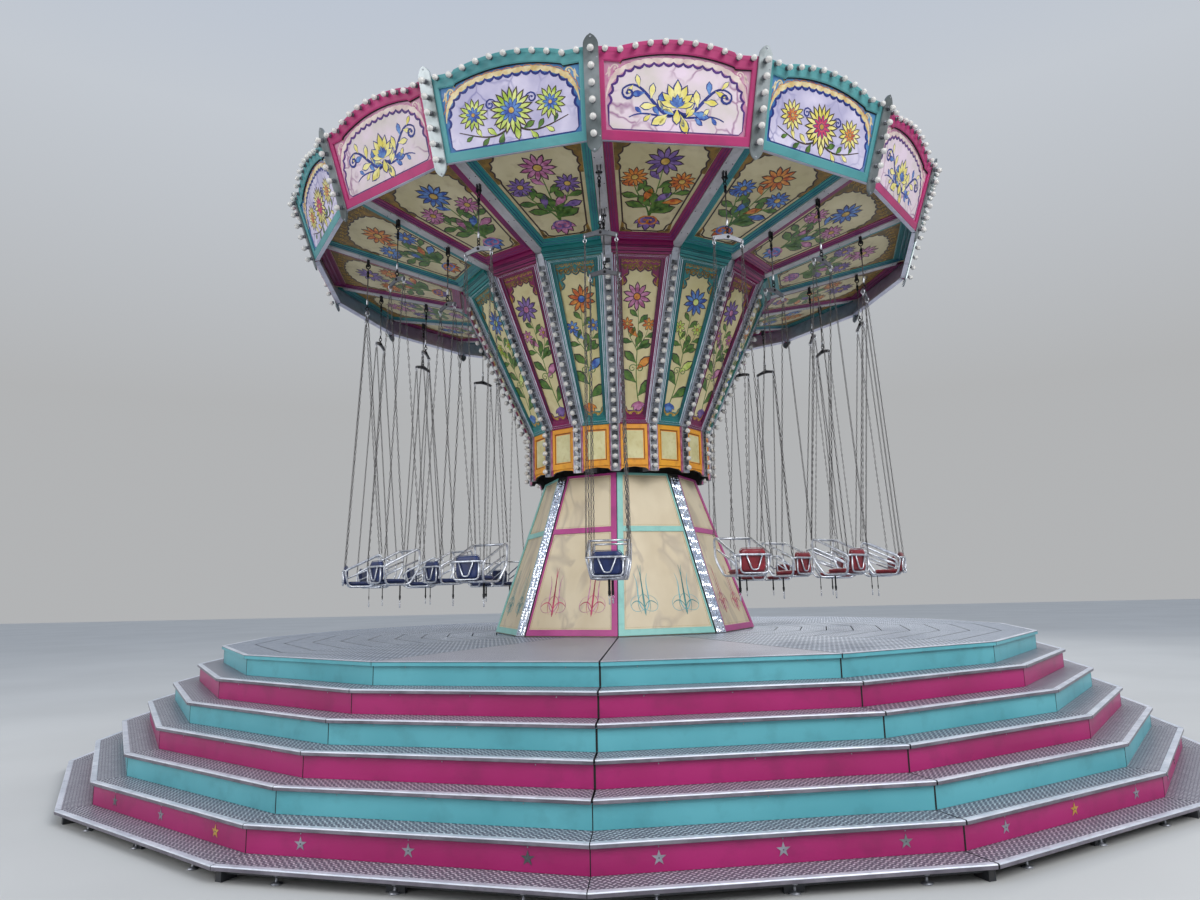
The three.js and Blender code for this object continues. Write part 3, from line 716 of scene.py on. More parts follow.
def vinyl(name, first, second):
    """Leather-grained vinyl, a little glossy."""
    made = Finish(name, first, second, 14.0, (0.32, 0.5), relief=0.0002, coat=0.15)
    cells = made.add("TexVoronoi", {"Vector": made.coordinates(), "Scale": 420.0}, "Distance")
    made.bump(cells, 0.0005, 0.6)


def lamp_glass():
    """Frosted white glass that glows faintly with the light round it."""
    made = Finish("lamp_glass", (88, 87, 85), (96, 95, 93), 40.0, (0.12, 0.3), relief=0.0001)
    made.inputs["Transmission Weight"].default_value = 0.2
    made.inputs["IOR"].default_value = 1.45


def make_materials():
    for name, values in FINISHES.items():
        Finish(name, *values)
    Finish("nose_metal", (80, 82, 86), (90, 91, 94), 4.0, SATIN, 0.35, (48, 47, 50), stretch=(1, 1, 6))
    Finish("mirror_metal", (80, 84, 92), (93, 95, 98), 9.0, (0.06, 0.2), 1.0, (35, 38, 50), 0, 30.0, 0.0008)
    Finish("webbing", (5, 5, 6), (10, 10, 11), 30.0, (0.7, 0.85), grain=900.0)
    Finish("floor_paint", (78, 78, 77), (81, 81, 80), 0.3, (0.6, 0.75), relief=0.0002)
    chequer_plate("tread_chequer", 0.034, (45, 44, 49), (98, 98, 100))
    chequer_plate("deck_chequer", 0.040, (50, 54, 60), (92, 94, 98))
    chequer_plate("plain_plate", 0.020, (64, 64, 68), (82, 82, 85))
    vein_board("lilac_board", (70, 68, 80), (86, 83, 91), (45, 44, 66), 0.8)
    vein_board("marbled_board", (82, 78, 76), (90, 82, 88), (56, 34, 52), 0.9)
    vinyl("blue_vinyl", (3.5, 10, 28), (7, 16.5, 38))
    vinyl("red_vinyl", (42, 4, 10), (54, 7, 14))
    tower_cream()
    beam_paint()
    amber_with_painted_shade()
    lamp_glass()


# Podium
def tread_radius(level):
    return FIRST_TREAD_RADIUS - level * GOING


def seam_cut(corner, level=TREAD_COUNT):
    """Half the joint at a corner: wide right of the front, and at the front above the lowest treads."""
    if corner % SIDES == 0:
        return FRONT_SEAM if level > 1 else SEAM
    return RIGHT_SEAM if corner == 1 else SEAM


def seam_cuts(side, level=TREAD_COUNT):
    return seam_cut(side, level), seam_cut(side + 1, level)


def nosed_section(outer, inner, top):
    """Tread section with a folded nose, a smooth band behind it and the chequered plate behind that."""
    bottom = top - PLATE
    points = [(inner, bottom), (outer - 0.003, bottom), (outer, bottom + 0.003), (outer, top - NOSE_FOLD)]
    for k in (1, 2, 3):
        angle = math.pi / 2 * k / 4
        points.append((outer - NOSE_FOLD * (1 - math.cos(angle)), top - NOSE_FOLD * (1 - math.sin(angle))))
    band = outer - NOSE_BAND
    return points + [(outer - NOSE_FOLD, top), (band, top), (band - 0.003, top - 0.002), (inner, top - 0.002)]


def build_treads():
    # The plate's front lip is painted darker than its nose band: painted shade
    finishes = ["dull_metal"] + ["lip_metal_painted_shade"] * 2 + ["nose_metal"] * 6 + ["tread_chequer", "dull_metal"]
    for level in range(TREAD_COUNT):
        inner = tread_radius(level + 1) - NOSING - RISER_PLATE - PLATE
        section = nosed_section(tread_radius(level) * FLATTEN, inner * FLATTEN, FIRST_TREAD_Z + level * RISE)
        piece = Piece(f"tread_plates_{level + 1}")
        for side in range(SIDES):
            piece.ring_side(side, section, seam_cuts(side, level), finishes)
        piece.make("podium", "tread_plate", f"tread_{level + 1}")


def build_deck():
    piece = Piece("deck_boards")
    outer = DECK_RADIUS * FLATTEN
    inner = (DECK_RADIUS - DECK_EDGE) * FLATTEN + 0.001
    under = outer - NOSING + 0.001
    low = DECK_Z - PLATE - 0.004
    edge = [(inner, low + 0.005), (under, low + 0.005), (under, low), (outer - 0.004, low),
            (outer - 0.004, DECK_Z - 0.006), (outer, DECK_Z - 0.006), (outer, DECK_Z - 0.002),
            (outer - 0.003, DECK_Z), (inner, DECK_Z)]
    # Painted shade on the edge: its lip is dark underneath, and its front face is darker than the nose
    edge_finishes = ["dull_metal"] * 3
    edge_finishes += ["teal_enamel", "dark_joint_and_painted_shade", "lip_metal_painted_shade", "nose_metal", "nose_metal", "dull_metal"]
    planks = [DECK_RADIUS - DECK_EDGE - k * PLANK for k in range(14)] + [DECK_HOLE_RADIUS]
    for side in range(SIDES):
        piece.ring_side(side, edge, seam_cuts(side), edge_finishes)
        plate, rings, gap = "deck_chequer", planks, PLANK_GAP
        if side in (0, SIDES - 1):
            plate, rings, gap = "plain_plate", FRONT_DECK_RINGS, 0.003
        for outer, inner in zip(rings, rings[1:]):
            section = rectangle(inner * FLATTEN + gap, DECK_Z - PLATE, outer * FLATTEN, DECK_Z - 0.001)
            piece.ring_side(side, section, seam_cuts(side), ["dull_metal", "dull_metal", plate, "dull_metal"])
    piece.make("podium", "tread_plate", "deck_plates")


def build_risers():
    stars = Piece("riser_stars")
    seams = Piece("riser_seams")
    metals = ["silver_rail", "silver_rail", "plate_metal", "silver_rail", "gold_light"]
    for level in range(TREAD_COUNT):
        radius = tread_radius(level + 1) - NOSING
        low = FIRST_TREAD_Z + level * RISE
        high = low + RISE - PLATE
        for side in range(SIDES):
            stars.matrix = Facet(side + 0.5, radius, low, radius, high).matrix
            for number, x in enumerate(STAR_PLACES):
                if level == 0:
                    metal = metals[(3 * side + number) % len(metals)]
                    stars.prism(moved(star(), x, STAR_Z), SKIN, 0.003, metal)
                    stars.screw(x, STAR_Z, 0.0028, 0.005, "dull_metal")
                stars.screw(x * (1 if level == 0 else 0.86), 0.135, SKIN, 0.0045, "silver_rail")
            corner = Facet(side, radius, low, radius, high, 0.0)
            seams.matrix = corner.matrix
            joint = plank(seam_cut(side, level), 0.002, corner.length - 0.002)
            seams.prism(joint, -0.012, 0.0008, "dark_joint_and_painted_shade")
    stars.make("podium", "rail_metal")
    seams.make("podium", "frame_paint")


def build_feet():
    """Threaded feet under the lowest tread's edge."""
    piece = Piece("levelling_feet")
    radius = (FIRST_TREAD_RADIUS - FOOT_INSET) * FLATTEN
    top = FIRST_TREAD_Z - PLATE
    profile = [(0, 0), (0.034, 0), (0.036, 0.006), (0.014, 0.014), (0.009, 0.018), (0.009, 0.045),
               (0.019, 0.047), (0.019, 0.060), (0.009, 0.062), (0.009, top), (0, top)]
    for side in range(SIDES):
        for x in FOOT_PLACES:
            piece.matrix = spin(turn(side + 0.5)) @ shift(x, -radius, 0)
            piece.lathe(profile, 10, "silver_rail")
            piece.prism(rectangle(-0.045, -0.02, 0.045, 0.05), top - 0.012, top - 0.0005, "dull_metal")
    piece.make("podium", "rail_metal")


# Tower
def tower_outline(facet, side, inset_plain, inset_strip, low, high):
    """A board's outline, with one inset at its plain corner and another beside the mirror strip."""
    left = inset_plain + 0.003
    right = TOWER_STRIP_WIDTH / 2 / math.cos(math.pi / TOWER_SIDES) + 0.012 + inset_strip
    if side % 2:
        left, right = right, left
    a, b = facet.half_at(low), facet.half_at(high)
    return [(-a + left, low), (a - right, low), (b - right, high), (-b + left, high)]


# Right half of a pinstripe plume: the width of each stroke and its four control points
PLUME_STROKES = [
    (0.014, (0.00, -0.12), (0.04, 0.25), (-0.05, 0.60), (0.04, 1.00)),
    (0.013, (0.01, -0.10), (0.25, 0.10), (0.02, 0.45), (0.17, 0.80)),
    (0.011, (0.00, -0.05), (0.10, 0.26), (0.30, 0.10), (0.33, 0.02)),
    (0.005, (0.00, -0.06), (0.44, -0.30), (0.44, 0.34), (0.03, 0.26)),
    (0.006, (0.02, 0.30), (0.15, 0.20), (0.20, 0.05), (0.09, -0.16)),
]


def plume(piece, x, y, size, paint, dark):
    """Tapering strokes that fan up from a point over two loops."""
    for hand in (1, -1):
        for number, (width, *corners) in enumerate(PLUME_STROKES):
            path = bezier(*[(x + hand * size * cx, y + size * cy) for cx, cy in corners])
            low = 0.0004 + 0.0002 * number
            colour = dark if number % 2 else paint
            piece.ribbon(path, tapering(len(path), width, 0.0015), low, low + 0.0012, colour)
    piece.prism(moved(petal(0.32 * size, 0.05 * size), x, y + 0.10 * size, math.pi), 0.0004, 0.0026, paint)


def build_tower():
    frames = Piece("tower_frames")
    lines = Piece("tower_pinstripes")
    paints = [("tower_teal", "deep_teal_enamel", "teal_enamel", 1),
              ("tower_pink", "crimson_petal", "rose_petal", -1)]
    for side in range(TOWER_SIDES):
        facet = Facet(2 * side + 1, TOWER_BOTTOM_RADIUS, DECK_Z, TOWER_TOP_RADIUS, TOWER_TOP_Z,
                      math.pi / TOWER_SIDES)
        frames.matrix = lines.matrix = facet.matrix
        paint, stroke, loop, lean = paints[side % 2]
        outer = tower_outline(facet, side, 0.0, 0.0, 0.010, facet.length - 0.004)
        inner = tower_outline(facet, side, 0.070, 0.016, 0.080, facet.length - 0.030)
        frames.moulding(outer, inner, [(0, 0.009), (0.03, 0.011), (0.95, 0.011), (1, 0.008)], paint)
        middle = (TOWER_RAIL_Z - DECK_Z) / (TOWER_TOP_Z - DECK_Z) * facet.length
        bar = tower_outline(facet, side, 0.068, 0.014, middle - 0.032, middle + 0.032)
        frames.prism(bar, SKIN, 0.0105, paint)
        for share in (-0.46, 0.40):
            plume(lines, lean * share * facet.half_at(0.35), PLUME_Y, PLUME_SIZE, stroke, loop)
        for low, high in ((0.10, middle - 0.05), (middle + 0.05, facet.length - 0.05)):
            outline = tower_outline(facet, side, 0.088, 0.034, low, high)
            lines.ribbon(outline, 0.0025, 0.0004, 0.0012, "gold_scroll", True)
    frames.make("podium", "tower_board")
    lines.make("podium", "tower_board")


def tower_corner(corner, inset, low, high):
    return Facet(2 * corner, TOWER_BOTTOM_RADIUS - inset, low, TOWER_TOP_RADIUS - inset, high, 0.0)


def build_tower_strips():
    """Corner strips of embossed mirror metal, in rows of low pyramids, and gaps at the other corners."""
    piece = Piece("tower_mirror_strips")
    gaps = Piece("tower_corner_gaps")
    for corner in range(0, TOWER_SIDES, 2):
        facet = tower_corner(corner, 0.004, DECK_Z + 0.01, TOWER_TOP_Z - 0.01)
        gaps.matrix = facet.matrix
        gaps.prism(plank(0.006, 0, facet.length), -0.014, 0.003, "dark_joint_and_painted_shade")
    half = TOWER_STRIP_WIDTH / 2
    cell = (TOWER_STRIP_WIDTH - 0.012) / PYRAMID_COLUMNS
    faces = [(3, 2, 1, 0), (0, 1, 4), (1, 2, 4), (2, 3, 4), (3, 0, 4)]
    for corner in range(1, TOWER_SIDES, 2):
        facet = tower_corner(corner, 0.020, DECK_Z + 0.004, TOWER_TOP_Z)
        piece.matrix = facet.matrix
        piece.prism(plank(half, 0.004, facet.length - 0.002), 0.0004, 0.003, "mirror_metal")
        for row in range(int((facet.length - 0.02) / cell)):
            for column in range(PYRAMID_COLUMNS):
                x = -half + 0.006 + column * cell
                y = 0.012 + row * cell
                base = [(px, py, 0.0025) for px, py in rectangle(x, y, x + cell, y + cell)]
                tip = (x + cell * (0.5 + 0.36 * math.sin(7.1 * row + 3.3 * column)),
                       y + cell * (0.5 + 0.36 * math.cos(5.3 * row + 2.1 * column)), PYRAMID_HEIGHT)
                piece.add(base + [tip], faces, "mirror_metal")
    piece.make("podium", "tower_metal")
    gaps.make("podium", "frame_paint")


# Lamps
def lamp(lamps, at, radius):
    """A globe in a flared socket on the plate at z 0."""
    globes, sockets = lamps
    neck = radius * 0.62
    flare = neck * 1.25
    top = radius * 1.05
    socket = [(0, SKIN), (flare, SKIN), (flare, radius * 0.3), (neck, radius * 0.5), (neck, top), (0, top)]
    sockets.lathe(socket, SOCKET_SIDES, "dull_metal", at, False)
    angles = [math.pi * k / 6 for k in range(1, 6)]
    globe = [(radius * math.sin(angle), radius * (1.7 - math.cos(angle))) for angle in angles]
    globes.lathe([(0, radius * 0.7)] + globe + [(0, radius * 2.7)], GLOBE_SIDES, "lamp_glass", at)


def build_rails(lamps):
    channels = Piece("lamp_rail_channels")
    trims = Piece("rail_edge_trims")
    face = COLLAR_RADIUS + 0.001
    wide = RAIL_WIDTH / 2
    for step in range(SIDES):
        collar = Facet(step, face, COLLAR_BOTTOM_Z, face, COLLAR_TOP_Z - 0.004, 0.0)
        funnel = Facet(step, face, COLLAR_TOP_Z + 0.002, FUNNEL_TOP_RADIUS + 0.001, FUNNEL_TOP_Z + 0.006, 0.0)
        funnel_lamps = int((funnel.length - 0.13) / RAIL_LAMP_PITCH)
        for facet, pitch, count, trim in ((collar, collar.length / COLLAR_LAMPS, COLLAR_LAMPS, "rose_petal"),
                                          (funnel, RAIL_LAMP_PITCH, funnel_lamps, "silver_line")):
            channels.matrix = trims.matrix = facet.matrix
            channels.prism(plank(wide, 0, facet.length), 0.0, 0.012, "silver_rail")
            for x in (-wide, wide - RAIL_LIP):
                channels.prism(rectangle(x, 0, x + RAIL_LIP, facet.length), 0.010, RAIL_DEPTH, "silver_rail")
            for k in range(count):
                lamp(lamps, facet.matrix @ shift(0, (k + 0.5) * pitch, 0.012), RAIL_LAMP)
                tile = plank(0.034, (k + 1) * pitch - 0.026, (k + 1) * pitch + 0.026)
                channels.prism(tile, 0.0115, 0.0135, "dark_mirror")
            for x in (-wide - 0.008, wide + 0.008):
                trims.prism(rectangle(x - 0.006, 0.004, x + 0.006, facet.length - 0.004), -0.012, 0.009, trim)
    channels.make("head", "rail_metal", "lamp_rails")
    trims.make("head", "rail_metal")


def build_cornice():
    """Stepped mouldings under the ceiling, in the colour of the boards below."""
    piece = Piece("cornice_mouldings")
    top = BEAM_FOOT_Z - 0.010
    low = top - CORNICE_HEIGHT
    slope = (FUNNEL_TOP_RADIUS - COLLAR_RADIUS) / (FUNNEL_TOP_Z - COLLAR_TOP_Z)
    start, end = (FUNNEL_TOP_RADIUS + 0.002 + slope * (z - FUNNEL_TOP_Z) for z in (low, top))
    wide = start + CORNICE_WIDTH
    steps = [(start, 0), (start + 0.018, 0), (start + 0.022, 0.007), (start + 0.030, 0.018),
             (start + 0.046, 0.024), (start + 0.050, 0.034), (start + 0.066, 0.040), (wide - 0.016, 0.050),
             (wide, 0.055), (wide, 0.064), (wide + 0.016, 0.068), (wide + 0.016, top - low), (end, top - low)]
    section = [(radius * FLATTEN, low + rise) for radius, rise in steps]
    cut = RAIL_WIDTH / 2 / FLATTEN + 0.002
    beam_cut = BEAM_WIDTH / 2 / FLATTEN + 0.001
    outer = wide + 0.012
    skirt = rectangle((wide - 0.060) * FLATTEN, top - 0.002, outer * FLATTEN, ceiling_height(outer) + 0.004)
    for side in range(SIDES):
        paint, shade, _ = HEAD_PAINTS[side % 2]
        finishes = [shade if number in (3, 7, 9) else paint for number in range(len(section))]
        piece.ring_side(side, section, (cut, cut), finishes)
        piece.ring_side(side, skirt, (beam_cut, beam_cut), [paint] * 4)
    piece.make("head", "funnel_board")


def build_collar():
    piece = Piece("collar_frames")
    for side in range(SIDES):
        facet = Facet(side + 0.5, COLLAR_RADIUS, COLLAR_BOTTOM_Z, COLLAR_RADIUS, COLLAR_TOP_Z)
        piece.matrix = facet.matrix
        wide = facet.low_half - RAIL_WIDTH / 2 - 0.018
        inset = wide - 0.034
        low, high = COLLAR_WINDOW
        inner = plank(inset, low, high)
        section = [(0, 0.010), (0.05, 0.014), (0.94, 0.014), (1, 0.011)]
        piece.moulding(plank(wide, *COLLAR_FRAME), inner, section, "amber_enamel")
        piece.prism(inner, 0.0002, 0.0012, "amber_shade")
        piece.prism(plank(inset - 0.011, low + 0.010, high - 0.014), 0.0008, 0.004, "amber_enamel")
        piece.prism(plank(inset - 0.018, low + 0.017, high - 0.021), 0.0010, 0.006, "inset_cream")
    piece.make("head", "collar_board")


# Ornament shared by the painted boards
def rosette(piece, x, y, radius, count, paint, heart="gold_light", edge="brown_line", low=0.001):
    """Petals over a dark edge, with a round heart."""
    for k in range(count):
        angle = turn(k, count)
        under = petal(radius, 2.6 * radius / count + 0.10 * radius)
        over = petal(radius * 0.90, 2.2 * radius / count + 0.04 * radius)
        piece.prism(moved(under, x, y, angle), low, low + 0.0012, edge)
        piece.prism(moved(over, x, y, angle), low, low + 0.0020, paint)
    piece.prism(circle(x, y, radius * 0.27, 12), low, low + 0.0030, edge)
    piece.prism(circle(x, y, radius * 0.21, 12), low, low + 0.0038, heart)


def scroll(piece, x, y, angle, hand, radius, width, paint, low=0.0, turns=1.1, tail=0.0):
    path = [(x + hand * px, y + py) for px, py in moved(spiral(radius, turns, tail), 0, 0, angle)]
    piece.ribbon(path, tapering(len(path), width, width * 0.25), low, low + 0.0018, paint)
    piece.prism(circle(*path[-1], width * 0.62, 6), low, low + 0.0022, paint)


def leaf(piece, x, y, angle, size, wide, paint, edge="brown_line", low=0.0):
    """A leaf over a dark edge."""
    piece.prism(moved(petal(size * 1.07, wide * 1.32), x, y, angle), low, low + 0.0010, edge)
    piece.prism(moved(petal(size, wide), x, y, angle), low, low + 0.0018, paint)


def spray(piece, x, y, angle, size, paint, edge="brown_line", low=0.0, count=5):
    """A fan of leaves from one point."""
    for k in range(count):
        place = k - (count - 1) / 2
        reach = size * (1 - 0.11 * abs(place))
        leaf(piece, x, y, angle + place * 0.42, reach, reach * 0.30, paint, edge, low)


def branch(piece, path, width, size, paints, count, stem="leaf_green", edge="brown_line", spread=0.8):
    """A tapering stem with leaves on alternate sides."""
    piece.ribbon(path, [width * (1 - 0.7 * k / len(path)) for k in range(len(path))], 0, 0.0016, stem)
    for k in range(count):
        i = int((k + 0.9) / (count + 0.5) * (len(path) - 2))
        (ax, ay), (bx, by) = path[i:i + 2]
        angle = math.atan2(by - ay, bx - ax) - math.pi / 2 + (spread if k % 2 else -spread)
        reach = size * (1 - 0.07 * k)
        leaf(piece, ax, ay, angle, reach, 0.40 * reach, paints[k % len(paints)], edge)


# Funnel
def funnel_outline(facet, inset, spread, low, high):
    """Outline between the rails, less an inset that grows by the spread up the board."""
    margin = RAIL_WIDTH / 2 + 0.016 + inset
    a, b = (facet.half_at(y) - margin - spread * y / facet.length for y in (low, high))
    return plank(a, low, high, b)


def candelabrum(art, low, high, number):
    """Blossoms and leafy sprays on a slender stem."""
    paint = ["rose_petal", "blue_petal", "violet_petal", "orange_petal"][number % 4]
    other = ["orange_petal", "lime_petal", "rose_petal", "blue_petal"][number % 4]
    span = high - low
    lean = 0.05 if number % 2 else -0.05

    def up(x, share):
        return x, low + share * span

    stem = bezier(up(-lean, 0), up(lean, 0.3), up(-lean, 0.55), up(lean * 0.5, 0.84), 16)
    branch(art, stem, 0.012, 0.17 * span, ["leaf_green", "leaf_green", other], 8)
    for hand in HANDS:
        scroll(art, *up(0, 0.30), -0.6, hand, 0.050, 0.011, "leaf_green", turns=1.15)
        twig = bezier(up(0, 0.42), up(hand * 0.04, 0.50), up(hand * 0.10, 0.50), up(hand * 0.125, 0.62), 8)
        branch(art, twig, 0.009, 0.10 * span, ["leaf_green"], 3)
        rosette(art, *up(hand * 0.125, 0.63), 0.055 * span, 7, other)
    rosette(art, *up(lean * 0.5, 0.84), 0.115 * span, 10, paint, other)
    spray(art, *up(-lean, 0.02), math.pi, 0.10 * span, paint)


def funnel_band(art, wide, ceiling, paint, shade):
    """Scroll band under the cornice, with a scalloped lower edge."""
    low = ceiling - 0.165
    arch = bezier((wide * 0.80, low - 0.12), (wide * 0.86, low + 0.10), (wide * 0.34, low + 0.09),
                  (0, low + 0.065))
    edge = scalloped(arch + mirrored(arch[:-1]), 7, 0.034)
    end = [(wide * 0.96, low - 0.13), (wide, ceiling)]
    art.prism(end + mirrored(end) + edge[::-1], 0.0006, 0.0030, paint)
    art.ribbon(edge, 0.016, 0.0008, 0.0048, shade)
    art.ribbon([(x * 1.02, y + 0.012) for x, y in edge], 0.012, 0.0008, 0.0042, "gold_scroll")
    gold, bronze = "gold_scroll", "bronze_scroll"
    for hand in HANDS:
        for k in range(4):
            x = hand * wide * (0.10 + 0.25 * k)
            angle = hand * (0.6 + 0.4 * k) + math.pi
            scroll(art, x, ceiling - 0.055 - 0.008 * k, -0.5, hand, 0.034, 0.016, bronze, 0.0028, 1.0, 0.05)
            scroll(art, x, ceiling - 0.024, 2.3, -hand, 0.026, 0.012, gold, 0.0032, 1.0, 0.04)
            leaf(art, x, ceiling - 0.062, angle, 0.060, 0.026, gold, bronze, 0.0028)
        leaf(art, hand * wide * 0.89, low - 0.02, math.pi, 0.11, 0.032, gold, bronze, 0.0028)


def funnel_bracket(art, half, foot, paint, line):
    """Notched bracket at the foot, with two curled arms."""
    right = [(half + 0.004, foot + 0.105), (half * 0.84, foot + 0.085), (half * 0.70, foot + 0.045)]
    notch = right + mirrored(right)
    art.prism([(-half, foot), (half, foot)] + notch, 0.0004, 0.0018, paint)
    art.ribbon(notch, 0.009, 0.0010, 0.0030, line)
    arm = [(0, 0.040), (0.30, 0.022), (0.60, 0.020), (0.86, 0.050), (0.93, 0.095)]
    for hand in HANDS:
        path = [(hand * half * x, foot + y) for x, y in arm]
        art.ribbon(path, [0.014, 0.024, 0.022, 0.016, 0.006], 0.0016, 0.0036, "gold_scroll")
        scroll(art, hand * half * 0.30, foot + 0.028, -1.2, hand, 0.020, 0.010, "gold_light", 0.0020)


def build_funnel():
    frames = Piece("funnel_frames")
    art = Piece("funnel_ornament")
    foot = FUNNEL_WINDOW_FOOT
    section = [(0, 0.012), (0.10, 0.014), (0.26, 0.014), (0.30, 0.022), (0.50, 0.022), (0.56, 0.010),
               (0.86, 0.010), (0.90, 0.015), (1, 0.015)]
    for side in range(SIDES):
        facet = Facet(side + 0.5, COLLAR_RADIUS, COLLAR_TOP_Z, FUNNEL_TOP_RADIUS, FUNNEL_TOP_Z)
        frames.matrix = art.matrix = facet.matrix
        paint, shade, line = HEAD_PAINTS[side % 2]
        top = facet.length - 0.082
        outer = funnel_outline(facet, 0.0, 0.0, 0.003, top)
        inner = funnel_outline(facet, 0.058, 0.032, foot, top - 0.055)
        frames.moulding(outer, inner, section, paint)
        for share, width, low, high, colour in (
                (0.18, 0.008, 0.0140, 0.0150, "silver_line"), (0.40, 0.008, 0.0220, 0.0230, "silver_line"),
                (0.70, 0.011, 0.0090, 0.0112, shade), (0.98, 0.012, 0.0138, 0.0160, shade)):
            frames.ribbon(inwards(outer, inner, share), width, low, high, colour, True)
        funnel_band(art, inner[2][0], top - 0.057, paint, shade)
        funnel_bracket(art, inner[1][0], foot, paint, line)
        art.matrix = facet.matrix @ shift(0, 0, ORNAMENT_LIFT)
        candelabrum(art, foot + 0.13, top - 0.232, side)
    frames.make("head", "funnel_board")
    art.make("head", "funnel_board")


# Ceiling
def beam_under(radius):
    return BEAM_FOOT_Z + BEAM_SLOPE * (radius - BEAM_FOOT_RADIUS)


def ceiling_height(radius):
    return beam_under(radius) + CEILING_RECESS


def ceiling_outline(facet, inset, low, high):
    gap = BEAM_WIDTH / 2 / FLATTEN + 0.004 + inset
    return plank(facet.half_at(low) - gap, low, high, facet.half_at(high) - gap)


def bouquet(art, y, size, tint, other):
    """Three blossoms on leafy stems that spring from one tie."""

    def place(x, rise):
        return x * size, y + rise * size

    tie = (0, y - 0.50 * size)
    blossoms = [(-0.25, 0.10, 0.150, other), (0.25, 0.06, 0.150, other), (0.02, 0.34, 0.205, tint)]
    for x, rise, reach, paint in blossoms:
        stem = bezier(tie, place(x * 0.2, -0.25), place(x, -0.15), place(x, rise), 14)
        branch(art, stem, 0.022 * size, 0.26 * size, ["leaf_green", "leaf_green", paint], 6)
        rosette(art, *place(x, rise), reach * size, 11, paint)
    spray(art, *tie, math.pi, 0.24 * size, tint)
    for hand in HANDS:
        scroll(art, *tie, -1.2, hand, 0.085 * size, 0.024 * size, other, 0.001)


def ceiling_border(art, a, b, low, high):
    """Scalloped dark outline round the field, with scroll corners outside it."""
    waist = low + 0.62 * (high - low)
    shoulder = a + (b - a) * 0.62
    crest = bezier((shoulder - 0.045, waist), (b * 0.93, high - 0.30), (b * 0.72, high - 0.10),
                   (0, high - 0.075))
    top = scalloped(crest + mirrored(crest[:-1]), 15, 0.024)
    right = [(a * 0.52, low + 0.022), (a * 0.74, low + 0.045), (a * 0.80, low + 0.12), (a * 0.95, low + 0.16)]
    art.ribbon(right + top + mirrored(right), 0.018, 0.0006, 0.0026, "brown_line", True)
    middle = len(top) // 2
    foot = [(0.99, 0.004), (1, 0.19), (0.90, 0.155), (0.84, 0.035), (0.50, 0.014), (0.50, 0.004)]
    for hand in HANDS:
        half = top[:middle + 1] if hand == 1 else top[middle:][::-1]
        corner = [(x + hand * 0.004, y + 0.004) for x, y in half]
        corner += [(0, high - 0.004), (hand * b * 0.99, high - 0.004), (hand * (shoulder - 0.006), waist)]
        for outline in (corner, [(hand * a * x, low + y) for x, y in foot]):
            art.prism(outline[::hand], 0.0004, 0.0018, "bronze_scroll")
        scroll(art, hand * a * 0.97, low + 0.05, -0.3, -hand, 0.026, 0.010, "brown_line", 0.0016)
        for k in range(6):
            t = k / 5
            x = hand * b * (0.93 - 0.78 * t)
            y = high - 0.16 + 0.085 * t
            scroll(art, x, y, 1.0 + 0.5 * t, -hand, 0.036, 0.015, "gold_scroll", 0.0016, tail=0.05)
            scroll(art, x + hand * 0.02, y + 0.03, -0.6, hand, 0.026, 0.009, "brown_line", 0.0012, tail=0.03)


def build_ceiling():
    frames = Piece("ceiling_frames")
    art = Piece("ceiling_ornament")
    outer_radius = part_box("ceiling_panels")[1].x
    section = [(0, 0.024), (0.22, 0.026), (0.30, 0.018), (0.52, 0.018), (0.60, 0.011), (0.95, 0.011),
               (1, 0.008)]
    blossoms = ["violet_petal", "orange_petal", "blue_petal", "rose_petal"]
    for side in range(SIDES):
        facet = Facet(side + 0.5, CEILING_INNER_RADIUS, ceiling_height(CEILING_INNER_RADIUS),
                      outer_radius, ceiling_height(outer_radius))
        frames.matrix = art.matrix = facet.matrix
        outer = ceiling_outline(facet, 0.0, 0.055, facet.length - 0.03)
        inner = ceiling_outline(facet, 0.092, 0.165, facet.length - 0.20)
        frames.moulding(outer, inner, section, HEAD_PAINTS[side % 2][0])
        line = "navy_line" if side % 2 else "violet_line"
        for share, low in ((0.26, 0.0182), (0.56, 0.0108)):
            frames.ribbon(inwards(outer, inner, share), 0.006, low, low + 0.005, line, True)
        low, high = inner[1][1], inner[2][1]
        ceiling_border(art, inner[1][0], inner[2][0], low, high)
        art.matrix = facet.matrix @ shift(0, 0, ORNAMENT_LIFT)
        other = blossoms[(side + 1) % 4]
        bouquet(art, (low + high) / 2, BOUQUET_SIZE, blossoms[side % 4], other)
    frames.make("head", "ceiling_board")
    art.make("head", "ceiling_board")


# Crown
def crown_facet(step, half=HALF_SIDE):
    return Facet(step, CROWN_BOTTOM_RADIUS, CROWN_BOTTOM_Z, CROWN_TOP_RADIUS, CROWN_TOP_Z, half)


def crown_outline(facet, side_inset, low, top_inset):
    """Board outline with straight shoulders, a small step and an arch, drawn in by the insets."""
    shoulder = facet.length - top_inset
    step = shoulder + CROWN_SHOULDER_STEP
    a, b = (facet.half_at(y) - side_inset for y in (low, shoulder))
    arc = facet.high_half * (1 - 2 * CROWN_SHOULDER_SHARE)
    end = arc * 0.97
    points = [(-a, low), (a, low), (b, shoulder), (arc, shoulder), (end, step)]
    for k in range(1, 14):
        x = end * (1 - k / 7)
        points.append((x, step + (CROWN_ARCH - CROWN_SHOULDER_STEP) * (1 - (x / end) ** 2)))
    return points + [(-end, step), (-arc, shoulder), (-b, shoulder)]


def crown_arch(facet):
    """The curve that the scallops hang from: rounded shoulders over straight sides."""
    start = CROWN_FIELD_Y + 0.20
    high = facet.length + CROWN_ARCH - 0.195
    half = facet.half_at(start) - 0.143
    path = []
    for k in range(41):
        c, s = math.cos(math.pi * k / 40), math.sin(math.pi * k / 40)
        path.append((half * math.copysign(abs(c) ** 0.74, c), start + (high - start) * s ** 0.74))
    return path


